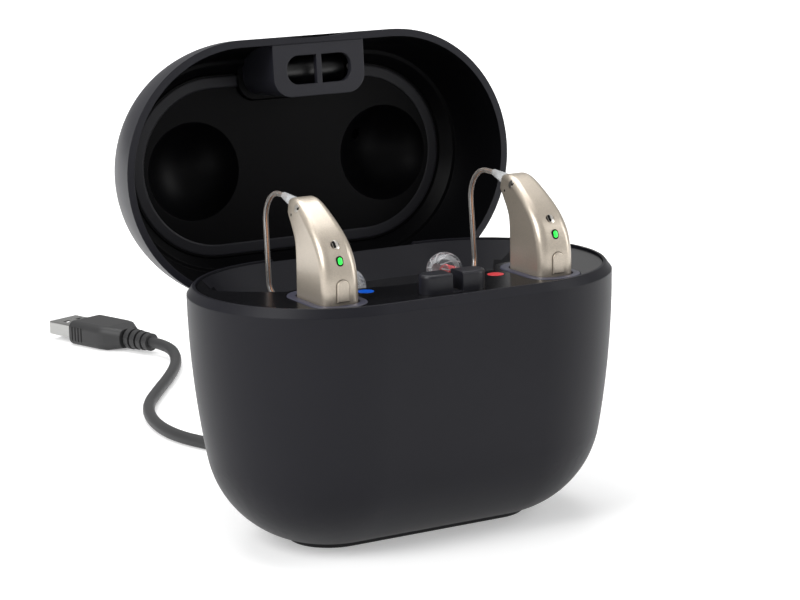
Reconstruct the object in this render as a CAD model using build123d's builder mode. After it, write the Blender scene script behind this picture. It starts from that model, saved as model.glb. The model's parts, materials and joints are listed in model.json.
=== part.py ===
"""Charging case for two hearing aids, with its lid open and its lead behind it.

Millimetres, +Z up, +X to the right, -Y to the front. The origin is the middle of the foot pad's
flat underside. The lid stands open against its stop, and both hearing aids sit in their docks.
"""

import os
from math import asin, cos, degrees, pi, radians, sin, sqrt, tan

from build123d import *

os.makedirs("parts", exist_ok=True)

# Case: every level of it is a stadium, straight sides between round ends
CASE_WIDTH = 110.0
CASE_DEPTH = 67.0
HALF_DEPTH = CASE_DEPTH / 2
STRAIGHT = (CASE_WIDTH - CASE_DEPTH) / 2
RIM_TOP = 64.3
RIM_BEVEL_WIDE = 1.5
RIM_BEVEL_HIGH = 2.0
BASE_LOW = 1.2
BASE_FLOOR = 3.6
BASE_WALL = 2.2
BASE_BULGE = 234.0
BASE_BEND_TOP = 22.0
BASE_BEND = 26.5
PAD_HALF_DEPTH = 11.0
PAD_SEAT = 2.0
WELD = 1.0

# Lid, in its closed place
LID_MOUTH = 64.7
LID_TOP = 98.0
LID_WALL = 1.9
LID_BULGE = 47.5
LID_BEND_HEIGHT = 11.4
LINER_FLOOR = 85.5
LINER_TOP = 87.0
LINER_EDGE = 24.0
LINER_SEAM = 0.2
SLOPE_EDGE = 26.6
SLOPE_LOW = 82.4
SLOPE_ROOT = 28.6
SLOPE_CROWN = 25.4
BOWL_X = 28.0
BOWL_Y = 0.7
BOWL_MOUTH = 12.9
BOWL_DEPTH = 8.4
BOWL_SKIN = 1.2
VENT_X = 23.3
VENT_Y = -4.5
VENT_RADIUS = 1.5

# Hinge
HINGE_Y = 30.2
HINGE_Z = 56.0
OPEN_ANGLE = 93.6
ROD_RADIUS = 1.0
ROD_FIT = 0.05
KNUCKLE_RADIUS = 2.6
KNUCKLE_INNER = 7.0
TONGUE_HALF = 20.0
TONGUE_FRONT = 31.75
TONGUE_BACK = 33.2
TONGUE_BRIDGE = 59.0
HINGE_GAP = 0.4
NOTCH_LOW = 52.5
CHEEK = 3.0

# Deck with its trough for the earpieces
DECK_TOP = 63.8
DECK_LOW = 61.8
DECK_GAP = 0.15
LEDGE_WIDE = 1.2
LEDGE_LOW = 59.8
TROUGH_FLOOR = 57.0
TROUGH_HALF = 48.0
TROUGH_ARC = 68.0
TROUGH_ARC_Y = 55.0
TROUGH_BACK = 31.0
TROUGH_BACK_LOW = 25.2
TROUGH_SKIN = 1.2

# Docks
AID_X = 29.4
DOCK_Y = -17.1
WELL_WIDE = 10.8
WELL_LONG = 18.4
WELL_CORNER = 4.0
CUP_WALL = 1.1
CUP_LOW = 51.2
CUP_FLOOR = 52.8
COLLAR_WIDE = 14.4
COLLAR_LONG = 23.5
COLLAR_CORNER = 6.4
COLLAR_LOW = 62.5
COLLAR_TOP = 64.0
COLLAR_GAP = 0.15
BOARD_TOP = 49.1
BOARD_THICK = 1.6
PIN_SPREAD = 3.6
PIN_RADIUS = 0.9
PIN_TOP = 52.95
MARKER_X = 18.0
MARKER_Y = -14.6
MARKER_RADIUS = 2.1

# Key on the deck and the latch that takes it in the lid
KEY_Y = -24.5
KEY_WIDE = 17.2
KEY_DEEP = 6.2
KEY_TOP = 68.4
KEY_NOTCH = 2.8
WINDOW_WIDE = 18.4
WINDOW_DEEP = 7.4
WINDOW_Y = -24.8
WINDOW_CORNER = 3.2
CROSSBAR = 1.4
LATCH_LOW = 64.9
LATCH_PLATE = 1.7
LATCH_TOP = 84.0
LATCH_HALF = 13.0
LATCH_BACK = -18.0
LATCH_CORNER = 5.0
LATCH_WALL = 1.3
PAD_Y = -24.0
PAD_WIDE = 28.4
PAD_DEEP = 14.4
PAD_CORNER = 4.6
CAPSULE_RADIUS = 4.8
CAPSULE_HALF = 10.0
CAPSULE_Z = 73.9
MAGNET_X = 11.2
MAGNET_RADIUS = 1.4
MAGNET_HIGH = 2.0

# Hearing aid: middle of each cross section in Y and Z, lean of the section, depth and width
AID_SECTIONS = [
    (-16.9, 53.0, 0.0, 14.6, 8.6),
    (-16.95, 60.0, 0.0, 16.7, 9.6),
    (-16.95, 70.0, 2.0, 16.0, 9.6),
    (-15.0, 76.2, 12.0, 13.4, 9.0),
    (-10.75, 80.4, 36.0, 9.4, 8.0),
    (-6.55, 83.3, 56.0, 7.2, 7.0),
    (-3.4, 84.1, 74.0, 4.4, 5.8),
]
AID_CORNER = 0.24
BUTTON_HALF = 1.6
BUTTON_LOW = 64.5
BUTTON_TOP = 69.7
BUTTON_FACE = -25.6
BUTTON_BACK = -24.2
BUTTON_TRAVEL = 0.4
BUTTON_GAP = 0.15
LIGHT_Y, LIGHT_Z, LIGHT_LEAN, LIGHT_RADIUS = -23.95, 73.95, 16.0, 0.7
MIC_Y, MIC_Z, MIC_LEAN, MIC_RADIUS = -21.5, 77.3, 42.0, 1.1
WIRE_RADIUS = 0.65
WIRE_START_Y = 4.5
WIRE_START_Z = 85.4
WIRE_FLOOR = 58.4
WIRE_RADII = [8.0, 4.0, 2.4]
RECEIVER_RADIUS = 1.6
RECEIVER_LONG = 5.9
DOME_RADIUS = 4.6
DOME_SKIN = 0.6
DOME_SKIRT = 1.4
DOME_NOZZLE = 1.4
SIDES = {
    "left": {"way": -1, "ear": (-20.2, 2.8, 60.3), "bend": (-24.9, 5.3, 58.6), "top": 15.95, "foot": 14.6},
    "right": {"way": 1, "ear": (19.2, 6.8, 60.3), "bend": (23.9, 9.3, 58.6), "top": 17.3, "foot": 14.9},
}

# Lead
LEAD_RADIUS = 1.8
LEAD_REST = LEAD_RADIUS + 0.05
JACK_Z = 11.0
CASE_PLUG_FACE = 22.8
CASE_PLUG_END = 42.0
CASE_BOOT_END = 52.0
COIL_X = 27.5
COIL_Y = 96.0
COIL_RADIUS = 25.5
COIL_EXIT_RADIUS = 26.5
COIL_DRAW_IN = 2.45
COIL_LOW = 2.4
COIL_HIGH = 6.7
COIL_HALF_TURNS = 5
LEAD_STUB = 2 * LEAD_RADIUS
TAIL_ROUTE = [
    (0.0, CASE_BOOT_END, JACK_Z),
    (0.0, 67.0, JACK_Z),
    (2.0, 82.5, COIL_LOW),
    (2.0, COIL_Y - LEAD_STUB, COIL_LOW),
]
LEAD_ROUTE = [
    (COIL_X - LEAD_STUB, COIL_Y - COIL_EXIT_RADIUS, COIL_HIGH),
    (15.9, COIL_Y - COIL_EXIT_RADIUS, COIL_HIGH),
    (3.5, 70.2, 2.6),
    (-8.5, 77.0, LEAD_REST),
    (-16.2, 89.5, LEAD_REST),
    (-20.2, 104.0, LEAD_REST),
    (-18.8, 121.0, LEAD_REST),
    (-13.0, 137.5, LEAD_REST),
    (-3.0, 152.6, LEAD_REST),
    (8.0, 168.5, LEAD_REST),
    (17.2, 184.5, 1.95),
    (20.0, 196.42, 4.0),
    (17.0, 205.0, 4.0),
]

# Plug, measured from the end of its boot along the plug
PLUG_END = LEAD_ROUTE[-1]
PLUG_WAY = (-0.33, 0.944, 0.0)
PLUG_BOOT = 11.0
PLUG_GRIP_END = 33.0
PLUG_TIP = 44.5
PLUG_WIDE = 15.5
PLUG_HIGH = 8.0
SHELL_WIDE = 12.0
SHELL_HIGH = 4.5
SHELL_SKIN = 0.4

SLACK = 40.0


def finish(part, name):
    """Labels a finished piece and writes it."""
    part.label = name
    export_step(part, f"parts/{name}.step")


def span(low, high):
    """Middle and size of a side between two values."""
    return (low + high) / 2, high - low


def block(x, y, z, mode=Mode.ADD):
    """A box between pairs of values along each axis."""
    places = [span(*side) for side in (x, y, z)]
    with Locations(tuple(place[0] for place in places)):
        Box(*(place[1] for place in places), mode=mode)


def rod(x, y, z, radius, mode=Mode.ADD):
    """A round bar along X between two values."""
    middle, length = span(*x)
    with Locations(Location((middle, y, z), (0, 90, 0))):
        Cylinder(radius, length, mode=mode)


def post(x, y, z, radius, mode=Mode.ADD):
    """A round bar along Z between two values."""
    middle, length = span(*z)
    with Locations((x, y, middle)):
        Cylinder(radius, length, mode=mode)


def slab(outline, low, high, mode=Mode.ADD):
    """A flat sketch raised between two levels."""
    extrude(outline.sketch.moved(Location((0, 0, low))), amount=high - low, dir=(0, 0, 1), mode=mode)


def stadium(outline, mode=Mode.ADD):
    """Draws a half outline along both long sides and turns it round both ends."""
    for way in (1, -1):
        end = (-way * STRAIGHT, 0, 0)
        half = Plane(origin=end, x_dir=(0, way, 0), z_dir=(way, 0, 0)) * Face(Wire(outline))
        extrude(half, amount=2 * STRAIGHT, dir=(way, 0, 0), mode=mode)
        revolve(half, axis=Axis(end, (0, 0, 1)), revolution_arc=180, mode=mode)


def stadium_face(inset):
    """Flat stadium inside the case's widest line."""
    with BuildSketch() as face:
        SlotOverall(CASE_WIDTH - 2 * inset, CASE_DEPTH - 2 * inset)
    return face


def polygon(*points):
    """Closed outline through points of the half section."""
    with BuildLine() as line:
        Polyline(*points, close=True)
    return line.edges()


def base_outline(inset, floor, top, bevel=False):
    """Half outline of the case: flat bottom, round bend, gently bulged wall."""
    wide = RIM_TOP - RIM_BEVEL_HIGH
    lean = degrees(asin((wide - BASE_BEND_TOP) / BASE_BULGE))
    reach = BASE_BULGE - BASE_BEND
    bulge = Vector(HALF_DEPTH - BASE_BULGE, wide)
    bend = bulge + Vector(reach * cos(radians(lean)), -reach * sin(radians(lean)))
    bend_radius = BASE_BEND - inset
    bottom = degrees(asin((bend.Y - floor) / bend_radius))
    shoulder = HALF_DEPTH - inset - (RIM_BEVEL_WIDE if bevel else 0)
    with BuildLine() as line:
        low = CenterArc(bend, bend_radius, -bottom, bottom - lean)
        wall = CenterArc(bulge, BASE_BULGE - inset, -lean, lean)
        Polyline(wall @ 1, (shoulder, top), (0, top), (0, floor), low @ 0)
    return line.edges()


def lid_outline(inset, low, top):
    """Half outline of the closed lid: gently bulged wall, round bend, flat top."""
    lean = degrees(asin(LID_BEND_HEIGHT / LID_BULGE))
    bend_radius = (LID_TOP - LID_MOUTH - LID_BEND_HEIGHT) / (1 - sin(radians(lean)))
    reach = LID_BULGE - bend_radius
    bulge = Vector(HALF_DEPTH - LID_BULGE, LID_MOUTH)
    bend = bulge + Vector(reach * cos(radians(lean)), reach * sin(radians(lean)))
    crown = degrees(asin(min(1.0, (top - bend.Y) / (bend_radius - inset))))
    with BuildLine() as line:
        wall = CenterArc(bulge, LID_BULGE - inset, 0, lean)
        over = CenterArc(bend, bend_radius - inset, lean, crown - lean)
        foot = ((wall @ 0).X, low)
        corners = [over @ 1, (0, top), (0, low), foot]
        Polyline(*corners, *([wall @ 0] if low < LID_MOUTH else []))
    return line.edges()


def open_lid(part):
    """Turns a piece of the closed lid back to the open lid's place."""
    return part.rotate(Axis((0, HINGE_Y, HINGE_Z), (1, 0, 0)), -OPEN_ANGLE)


def collar_face(grow=0.0, x=AID_X):
    """Flat outline of a dock's collar."""
    with BuildSketch() as face:
        with Locations((x, DOCK_Y + 0.4)):
            RectangleRounded(COLLAR_WIDE + 2 * grow, COLLAR_LONG + 2 * grow, COLLAR_CORNER + grow)
    return face


def well_face(grow=0.0, x=AID_X):
    """Flat outline of a dock's well."""
    with BuildSketch() as face:
        with Locations((x, DOCK_Y)):
            RectangleRounded(WELL_WIDE + 2 * grow, WELL_LONG + 2 * grow, WELL_CORNER + grow)
    return face


def trough_face(grow):
    """Crescent behind the docks, with round ends and a bay left for each collar."""
    with BuildSketch() as face:
        with Locations((0, TROUGH_ARC_Y)):
            Circle(TROUGH_ARC + grow)
        Rectangle(2 * (TROUGH_HALF + grow), 2 * (TROUGH_BACK + grow), mode=Mode.INTERSECT)
        corners = face.vertices()
        fillet(corners.group_by(Axis.Y)[-1], radius=15)
        fillet(face.vertices().filter_by(lambda v: abs(v.Y - trough_corner(grow)) < 0.5), radius=5)
        for x in (-AID_X, AID_X):
            with Locations((x, DOCK_Y + 0.4)):
                reach = 1.6 - grow
                RectangleRounded(
                    COLLAR_WIDE + 2 * reach, COLLAR_LONG + 2 * reach, COLLAR_CORNER + reach, mode=Mode.SUBTRACT
                )
    return face


def trough_corner(grow):
    """Where the crescent's front edge meets its straight ends."""
    return TROUGH_ARC_Y - sqrt((TROUGH_ARC + grow) ** 2 - (TROUGH_HALF + grow) ** 2)


def tube(route, radius, name, radii=None):
    """Sweeps a round section along straight runs joined by tangent arcs, and prints the radii."""
    points = [Vector(*point) for point in route]
    runs = [b - a for a, b in zip(points, points[1:])]
    if radii is None:
        radii = []
        for before, after in zip(runs, runs[1:]):
            half_turn = radians(before.get_angle(after)) / 2
            radii.append(0.45 * min(before.length, after.length) / tan(half_turn))
    with BuildPart() as swept:
        with BuildLine() as path:
            FilletPolyline(*points, radius=radii)
        with BuildSketch(Plane(origin=points[0], z_dir=runs[0])):
            Circle(radius)
        sweep(path=path.wire())
    length = path.wire().length
    share = swept.part.volume / (pi * radius**2 * length)
    print(name, "radii", [round(r, 1) for r in radii], "length", round(length, 1), "volume share", round(share, 4))
    return swept


# Cavity of the base, with what is left standing in it
NOTCH_HALF = TONGUE_HALF + HINGE_GAP
LUG_HALF = KNUCKLE_INNER - HINGE_GAP
LUG_FRONT = 28.4
LUG_BACK = TONGUE_FRONT - 0.3
JACK_SEAT_HALF = 8.5
WEIGHT_SCREWS = [(x, -8.0) for x in (-24.0, 24.0)]
WEIGHT_LOW = 6.0
JACK_SCREWS = [(x, 5.0) for x in (-9.0, 9.0)]
JACK_BOARD_LOW = 7.7
JACK_BOARD_TOP = 9.3

with BuildPart() as ledge:
    slab(stadium_face(BASE_WALL - WELD), LEDGE_LOW, DECK_LOW)
    slab(stadium_face(BASE_WALL + LEDGE_WIDE), LEDGE_LOW, DECK_LOW, mode=Mode.SUBTRACT)
    block((-TROUGH_HALF - 2, TROUGH_HALF + 2), (5, SLACK), (LEDGE_LOW - 1, DECK_LOW + 1), mode=Mode.SUBTRACT)

with BuildPart() as cavity:
    stadium(base_outline(BASE_WALL, BASE_FLOOR, RIM_TOP + WELD))
    add(ledge.part, mode=Mode.SUBTRACT)
    block((-JACK_SEAT_HALF, JACK_SEAT_HALF), (20.4, SLACK), (0, 17), mode=Mode.SUBTRACT)
    for x, y in WEIGHT_SCREWS:
        post(x, y, (0, WEIGHT_LOW), 3.2, mode=Mode.SUBTRACT)
    for x, y in JACK_SCREWS:
        post(x, y, (0, JACK_BOARD_LOW), 2.6, mode=Mode.SUBTRACT)
    # Middle knuckle with its web, and the cheeks that hold the rod's ends
    block((-LUG_HALF, LUG_HALF), (LUG_FRONT, SLACK), (NOTCH_LOW - 7, HINGE_Z), mode=Mode.SUBTRACT)
    rod((-LUG_HALF, LUG_HALF), HINGE_Y, HINGE_Z, KNUCKLE_RADIUS, mode=Mode.SUBTRACT)
    for way in (-1, 1):
        cheek = sorted((way * NOTCH_HALF, way * (NOTCH_HALF + CHEEK)))
        block(cheek, (LUG_FRONT - 1, SLACK), (NOTCH_LOW - 5, HINGE_Z + 1), mode=Mode.SUBTRACT)
        rod(cheek, HINGE_Y, HINGE_Z, KNUCKLE_RADIUS, mode=Mode.SUBTRACT)

with BuildPart() as base_shell:
    stadium(base_outline(0, BASE_LOW, RIM_TOP, bevel=True))
    add(cavity.part, mode=Mode.SUBTRACT)
    # Notch for the lid's tongue, open to the rim and clear of the middle knuckle
    for x in ((-NOTCH_HALF, -LUG_HALF), (LUG_HALF, NOTCH_HALF)):
        block(x, (HALF_DEPTH - 4, SLACK), (NOTCH_LOW, RIM_TOP + WELD), mode=Mode.SUBTRACT)
    block((-LUG_HALF, LUG_HALF), (LUG_BACK, SLACK), (NOTCH_LOW, RIM_TOP + WELD), mode=Mode.SUBTRACT)
    block((-LUG_HALF, LUG_HALF), (HINGE_Y - 4, SLACK), (HINGE_Z + KNUCKLE_RADIUS, SLACK * 2), mode=Mode.SUBTRACT)
    rod((-LUG_HALF, LUG_HALF), HINGE_Y, HINGE_Z, KNUCKLE_RADIUS)
    rod((-NOTCH_HALF - CHEEK, NOTCH_HALF + CHEEK), HINGE_Y, HINGE_Z, ROD_RADIUS, mode=Mode.SUBTRACT)
    # Pocket for the lead's small plug, and the way through to the jack
    block((-6.6, 6.6), (CASE_PLUG_FACE, SLACK), (JACK_Z - 4.2, JACK_Z + 4.2), mode=Mode.SUBTRACT)
    block((-4.8, 4.8), (18, SLACK), (JACK_Z - 1.8, JACK_Z + 1.8), mode=Mode.SUBTRACT)
    for x, y in WEIGHT_SCREWS + JACK_SCREWS:
        post(x, y, (BASE_LOW + 1.3, JACK_BOARD_LOW + 1), 1.1, mode=Mode.SUBTRACT)
    with BuildSketch(Plane.XY.offset(BASE_LOW)):
        SlotOverall(2 * (STRAIGHT + PAD_HALF_DEPTH), 2 * PAD_HALF_DEPTH)
    extrude(amount=PAD_SEAT - BASE_LOW, mode=Mode.SUBTRACT)
finish(base_shell.part, "base_shell")

with BuildPart() as foot_pad:
    with BuildSketch():
        SlotOverall(2 * (STRAIGHT + PAD_HALF_DEPTH - 0.1), 2 * (PAD_HALF_DEPTH - 0.1))
    extrude(amount=PAD_SEAT)
    fillet(foot_pad.edges().group_by(Axis.Z)[0], radius=0.4)
finish(foot_pad.part, "foot_pad")

# Steel weight that keeps the case standing with its lid open
WEIGHT_TOP = 20.0
with BuildPart() as base_weight:
    with BuildSketch(Plane.XY.offset(WEIGHT_LOW)):
        with Locations((0, -7.0)):
            RectangleRounded(62, 15.0, 5)
    extrude(amount=WEIGHT_TOP - WEIGHT_LOW)
    for x, y in WEIGHT_SCREWS:
        post(x, y, (0, WEIGHT_TOP + 1), 1.3, mode=Mode.SUBTRACT)
    chamfer(base_weight.edges().group_by(Axis.Z)[-1].filter_by(GeomType.LINE), length=0.6)
finish(base_weight.part, "base_weight")

with BuildPart() as weight_screws:
    for x, y in WEIGHT_SCREWS:
        post(x, y, (BASE_LOW + 1.5, WEIGHT_TOP), 1.1)
        post(x, y, (WEIGHT_TOP, WEIGHT_TOP + 1.6), 2.4)
        block((x - 1.4, x + 1.4), (y - 0.3, y + 0.3), (WEIGHT_TOP + 0.9, WEIGHT_TOP + 2), mode=Mode.SUBTRACT)
finish(weight_screws.part, "weight_screws")

# Lower board with the jack, and the flat cable up to the contact board
with BuildPart() as jack_board:
    block((-12, 12), (2, 18.8), (JACK_BOARD_LOW, JACK_BOARD_TOP))
    for x, y in JACK_SCREWS:
        post(x, y, (JACK_BOARD_LOW - 1, JACK_BOARD_TOP + 1), 1.2, mode=Mode.SUBTRACT)
    block((-3, 3), (9, 13), (JACK_BOARD_TOP, JACK_BOARD_TOP + 1.2))
finish(jack_board.part, "jack_board")

with BuildPart() as jack_screws:
    for x, y in JACK_SCREWS:
        post(x, y, (BASE_LOW + 1.5, JACK_BOARD_TOP), 1.1)
        post(x, y, (JACK_BOARD_TOP, JACK_BOARD_TOP + 1.4), 2.2)
        block((x - 1.3, x + 1.3), (y - 0.3, y + 0.3), (JACK_BOARD_TOP + 0.8, JACK_BOARD_TOP + 2), mode=Mode.SUBTRACT)
finish(jack_screws.part, "jack_screws")

with BuildPart() as usb_jack:
    block((-4.7, 4.7), (14.6, 20.3), (JACK_BOARD_TOP, JACK_BOARD_TOP + 3.4))
    fillet(usb_jack.edges().filter_by(Axis.Y), radius=1.2)
    block((-4.25, 4.25), (15.6, 21), (JACK_Z - 1.3, JACK_Z + 1.3), mode=Mode.SUBTRACT)
    block((-3.2, 3.2), (15.2, 19.6), (JACK_Z - 0.35, JACK_Z + 0.35))
finish(usb_jack.part, "usb_jack")

CABLE_Y = 3.2
with BuildPart() as board_cable:
    block((-4, 4), (CABLE_Y, CABLE_Y + 0.6), (JACK_BOARD_TOP, BOARD_TOP - BOARD_THICK))
finish(board_cable.part, "board_cable")

# Contact board, carried by the deck's posts
BOARD_POSTS = [(-41.0, -12.0), (-15.6, -18.5), (15.6, -18.5), (41.0, -12.0)]
with BuildPart() as contact_board:
    with BuildSketch(Plane.XY.offset(BOARD_TOP - BOARD_THICK)):
        SlotOverall(2 * (STRAIGHT + 27.5), 55)
        with Locations((0, -10.5)):
            Rectangle(CASE_WIDTH, 34, mode=Mode.INTERSECT)
    extrude(amount=BOARD_THICK)
    for x, y in BOARD_POSTS:
        post(x, y, (BOARD_TOP - 3, BOARD_TOP + 1), 1.2, mode=Mode.SUBTRACT)
    block((-4, 4), (-14, -6), (BOARD_TOP, BOARD_TOP + 1.0))
finish(contact_board.part, "contact_board")

with BuildPart() as board_screws:
    for x, y in BOARD_POSTS:
        post(x, y, (BOARD_TOP - BOARD_THICK, BOARD_TOP + 5), 1.1)
        post(x, y, (BOARD_TOP - BOARD_THICK - 1.4, BOARD_TOP - BOARD_THICK), 2.2)
        slot = (BOARD_TOP - BOARD_THICK - 2, BOARD_TOP - BOARD_THICK - 0.8)
        block((x - 1.3, x + 1.3), (y - 0.3, y + 0.3), slot, mode=Mode.SUBTRACT)
finish(board_screws.part, "board_screws")

# Deck
HOOKS = [(-17.8, -29.6), (17.8, -29.6)]
with BuildPart() as trough:
    slope = polygon(
        (0, TROUGH_FLOOR), (TROUGH_BACK_LOW, TROUGH_FLOOR), (TROUGH_BACK, DECK_TOP),
        (TROUGH_BACK, DECK_TOP + 2), (0, DECK_TOP + 2),
    )
    stadium(slope)
    slab(trough_face(0), TROUGH_FLOOR, DECK_TOP + 2, mode=Mode.INTERSECT)

with BuildPart() as trough_skin:
    skin_edge = TROUGH_BACK_LOW + 0.9
    skin_slope = (TROUGH_BACK - TROUGH_BACK_LOW) / (DECK_TOP - TROUGH_FLOOR)
    skin_top = skin_edge + skin_slope * (DECK_LOW - TROUGH_FLOOR + TROUGH_SKIN)
    stadium(polygon(
        (0, TROUGH_FLOOR - TROUGH_SKIN), (skin_edge, TROUGH_FLOOR - TROUGH_SKIN + 0.4),
        (min(skin_top, HALF_DEPTH - BASE_WALL - DECK_GAP), DECK_LOW), (0, DECK_LOW),
    ))
    slab(trough_face(TROUGH_SKIN), TROUGH_FLOOR - TROUGH_SKIN, DECK_LOW, mode=Mode.INTERSECT)

with BuildPart() as top_deck:
    slab(stadium_face(BASE_WALL + DECK_GAP), DECK_LOW, DECK_TOP)
    add(trough_skin.part)
    for x, y in HOOKS:
        block((x - 3, x + 3), (y + 0.1, y + 1.1), (LEDGE_LOW - 1.6, DECK_LOW))
        block((x - 3, x + 3), (y - 0.8, y + 1.1), (LEDGE_LOW - 1.6, LEDGE_LOW - 0.2))
    for x, y in BOARD_POSTS:
        post(x, y, (BOARD_TOP, DECK_LOW), 2.6)
    add(trough.part, mode=Mode.SUBTRACT)
    for x in (-AID_X, AID_X):
        slab(collar_face(COLLAR_GAP, x), COLLAR_LOW, DECK_TOP + 1, mode=Mode.SUBTRACT)
        slab(well_face(CUP_WALL + 0.1, x), DECK_LOW - 1, DECK_TOP + 1, mode=Mode.SUBTRACT)
    for x in (-MARKER_X, MARKER_X):
        post(x, MARKER_Y, (DECK_TOP - 0.7, DECK_TOP + 1), MARKER_RADIUS, mode=Mode.SUBTRACT)
    with BuildSketch(Plane.XY.offset(DECK_TOP - 1.2)):
        with Locations((0, KEY_Y)):
            SlotOverall(KEY_WIDE + 0.2, KEY_DEEP + 0.2)
    extrude(amount=3, mode=Mode.SUBTRACT)
    for x, y in BOARD_POSTS:
        post(x, y, (BOARD_TOP - 1, BOARD_TOP + 6), 1.1, mode=Mode.SUBTRACT)
finish(top_deck.part, "top_deck")

with BuildPart() as lid_key:
    with BuildSketch(Plane.XY.offset(DECK_TOP - 1.2)):
        with Locations((0, KEY_Y)):
            SlotOverall(KEY_WIDE, KEY_DEEP)
    extrude(amount=KEY_TOP - DECK_TOP + 1.2)
    fillet(lid_key.edges().group_by(Axis.Z)[-1], radius=0.8)
    block((-KEY_NOTCH / 2, KEY_NOTCH / 2), (KEY_Y - 5, KEY_Y + 5), (DECK_TOP, KEY_TOP + 1), mode=Mode.SUBTRACT)
finish(lid_key.part, "lid_key")

with BuildPart() as base_magnets:
    for x in (-MAGNET_X, MAGNET_X):
        post(x, KEY_Y, (DECK_LOW - MAGNET_HIGH, DECK_LOW), MAGNET_RADIUS)
finish(base_magnets.part, "base_magnets")

with BuildPart() as hinge_rod:
    rod((-NOTCH_HALF - CHEEK + 0.4, NOTCH_HALF + CHEEK - 0.4), HINGE_Y, HINGE_Z, ROD_RADIUS)
finish(hinge_rod.part, "hinge_rod")

# Docks
for side, facts in SIDES.items():
    x = facts["way"] * AID_X
    with BuildPart() as dock_collar:
        slab(collar_face(0, x), COLLAR_LOW, COLLAR_TOP)
        fillet(dock_collar.edges().group_by(Axis.Z)[-1], radius=0.3)
        slab(well_face(0, x), COLLAR_LOW - 1, COLLAR_TOP + 1, mode=Mode.SUBTRACT)
    finish(dock_collar.part, f"{side}_dock_collar")

    with BuildPart() as dock_cup:
        slab(well_face(CUP_WALL, x), CUP_LOW, COLLAR_LOW)
        slab(well_face(0, x), CUP_FLOOR, COLLAR_LOW + 1, mode=Mode.SUBTRACT)
        for reach in (-PIN_SPREAD, PIN_SPREAD):
            post(x, DOCK_Y + reach, (CUP_LOW - 1, CUP_FLOOR + 1), PIN_RADIUS + 0.1, mode=Mode.SUBTRACT)
    finish(dock_cup.part, f"{side}_dock_cup")

    with BuildPart() as contacts:
        for reach in (-PIN_SPREAD, PIN_SPREAD):
            post(x, DOCK_Y + reach, (BOARD_TOP, PIN_TOP - 1.2), PIN_RADIUS)
            post(x, DOCK_Y + reach, (PIN_TOP - 1.2, PIN_TOP), 0.6)
            post(x, DOCK_Y + reach, (BOARD_TOP, BOARD_TOP + 0.8), 1.6)
    finish(contacts.part, f"{side}_charge_contacts")

    with BuildPart() as marker:
        post(facts["way"] * MARKER_X, MARKER_Y, (DECK_TOP - 0.7, DECK_TOP + 0.05), MARKER_RADIUS - 0.05)
    finish(marker.part, f"{side}_marker")

# Lid, drawn closed: the room within the middle of its wall, and the pad over the latch
with BuildPart() as lid_room:
    stadium(lid_outline(LID_WALL / 2, LID_MOUTH, LID_TOP - LID_WALL / 2))

with BuildPart() as latch_pad:
    with BuildSketch(Plane.XY.offset(LATCH_TOP)):
        with Locations((0, PAD_Y)):
            RectangleRounded(PAD_WIDE, PAD_DEEP, PAD_CORNER)
    extrude(amount=LINER_TOP - LATCH_TOP)
    add(lid_room.part, mode=Mode.INTERSECT)

with BuildPart() as lid_shell:
    stadium(lid_outline(0, LID_MOUTH, LID_TOP))
    stadium(lid_outline(LID_WALL, LID_MOUTH - WELD, LID_TOP - LID_WALL), mode=Mode.SUBTRACT)
    # Ring inside, sloped from the wall to the liner's edge
    stadium(polygon(
        (LINER_EDGE + LINER_SEAM, LINER_TOP), (LINER_EDGE + LINER_SEAM, LINER_FLOOR), (SLOPE_EDGE, SLOPE_LOW),
        (SLOPE_ROOT, SLOPE_LOW), (SLOPE_CROWN, LINER_TOP),
    ))
    add(latch_pad.part)
    # Shallow thumb lip in the front edge
    with Locations((0, -HALF_DEPTH - 59.3, LID_MOUTH)):
        Cylinder(60, 3.6, mode=Mode.SUBTRACT)
    # Tongue that reaches down to the hinge
    block((-TONGUE_HALF, TONGUE_HALF), (TONGUE_FRONT, TONGUE_BACK), (TONGUE_BRIDGE, LID_MOUTH + 1.5))
    for way in (-1, 1):
        knuckle = sorted((way * KNUCKLE_INNER, way * TONGUE_HALF))
        block(knuckle, (HINGE_Y, TONGUE_BACK), (HINGE_Z - 1.5, HINGE_Z + 1))
        block(knuckle, (TONGUE_FRONT, TONGUE_BACK), (HINGE_Z - 1.5, TONGUE_BRIDGE + 1))
        rod(knuckle, HINGE_Y, HINGE_Z, KNUCKLE_RADIUS)
        rod(knuckle, HINGE_Y, HINGE_Z, ROD_RADIUS + ROD_FIT, mode=Mode.SUBTRACT)
finish(open_lid(lid_shell.part), "lid_shell")

BOWL_SPHERE = (BOWL_MOUTH**2 + BOWL_DEPTH**2) / (2 * BOWL_DEPTH)
BOWL_MIDDLE = LINER_FLOOR + BOWL_DEPTH - BOWL_SPHERE
with BuildPart() as lid_liner:
    slab(stadium_face(HALF_DEPTH - LINER_EDGE), LINER_FLOOR, LINER_TOP)
    with BuildSketch(Plane.XY.offset(LINER_FLOOR - 1)):
        with Locations((0, -16.5 - SLACK / 2)):
            RectangleRounded(29.2, SLACK, 5)
    extrude(amount=LINER_TOP - LINER_FLOOR + 2, mode=Mode.SUBTRACT)
    for x in (-BOWL_X, BOWL_X):
        with Locations((x, BOWL_Y, BOWL_MIDDLE)):
            Sphere(BOWL_SPHERE + BOWL_SKIN)
    block((-60, 60), (-SLACK, SLACK), (SLACK, LINER_FLOOR), mode=Mode.SUBTRACT)
    for x in (-BOWL_X, BOWL_X):
        with Locations((x, BOWL_Y, BOWL_MIDDLE)):
            Sphere(BOWL_SPHERE, mode=Mode.SUBTRACT)
    post(VENT_X, VENT_Y, (LINER_FLOOR - 1, LID_TOP), VENT_RADIUS, mode=Mode.SUBTRACT)
finish(open_lid(lid_liner.part), "lid_liner")

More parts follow.
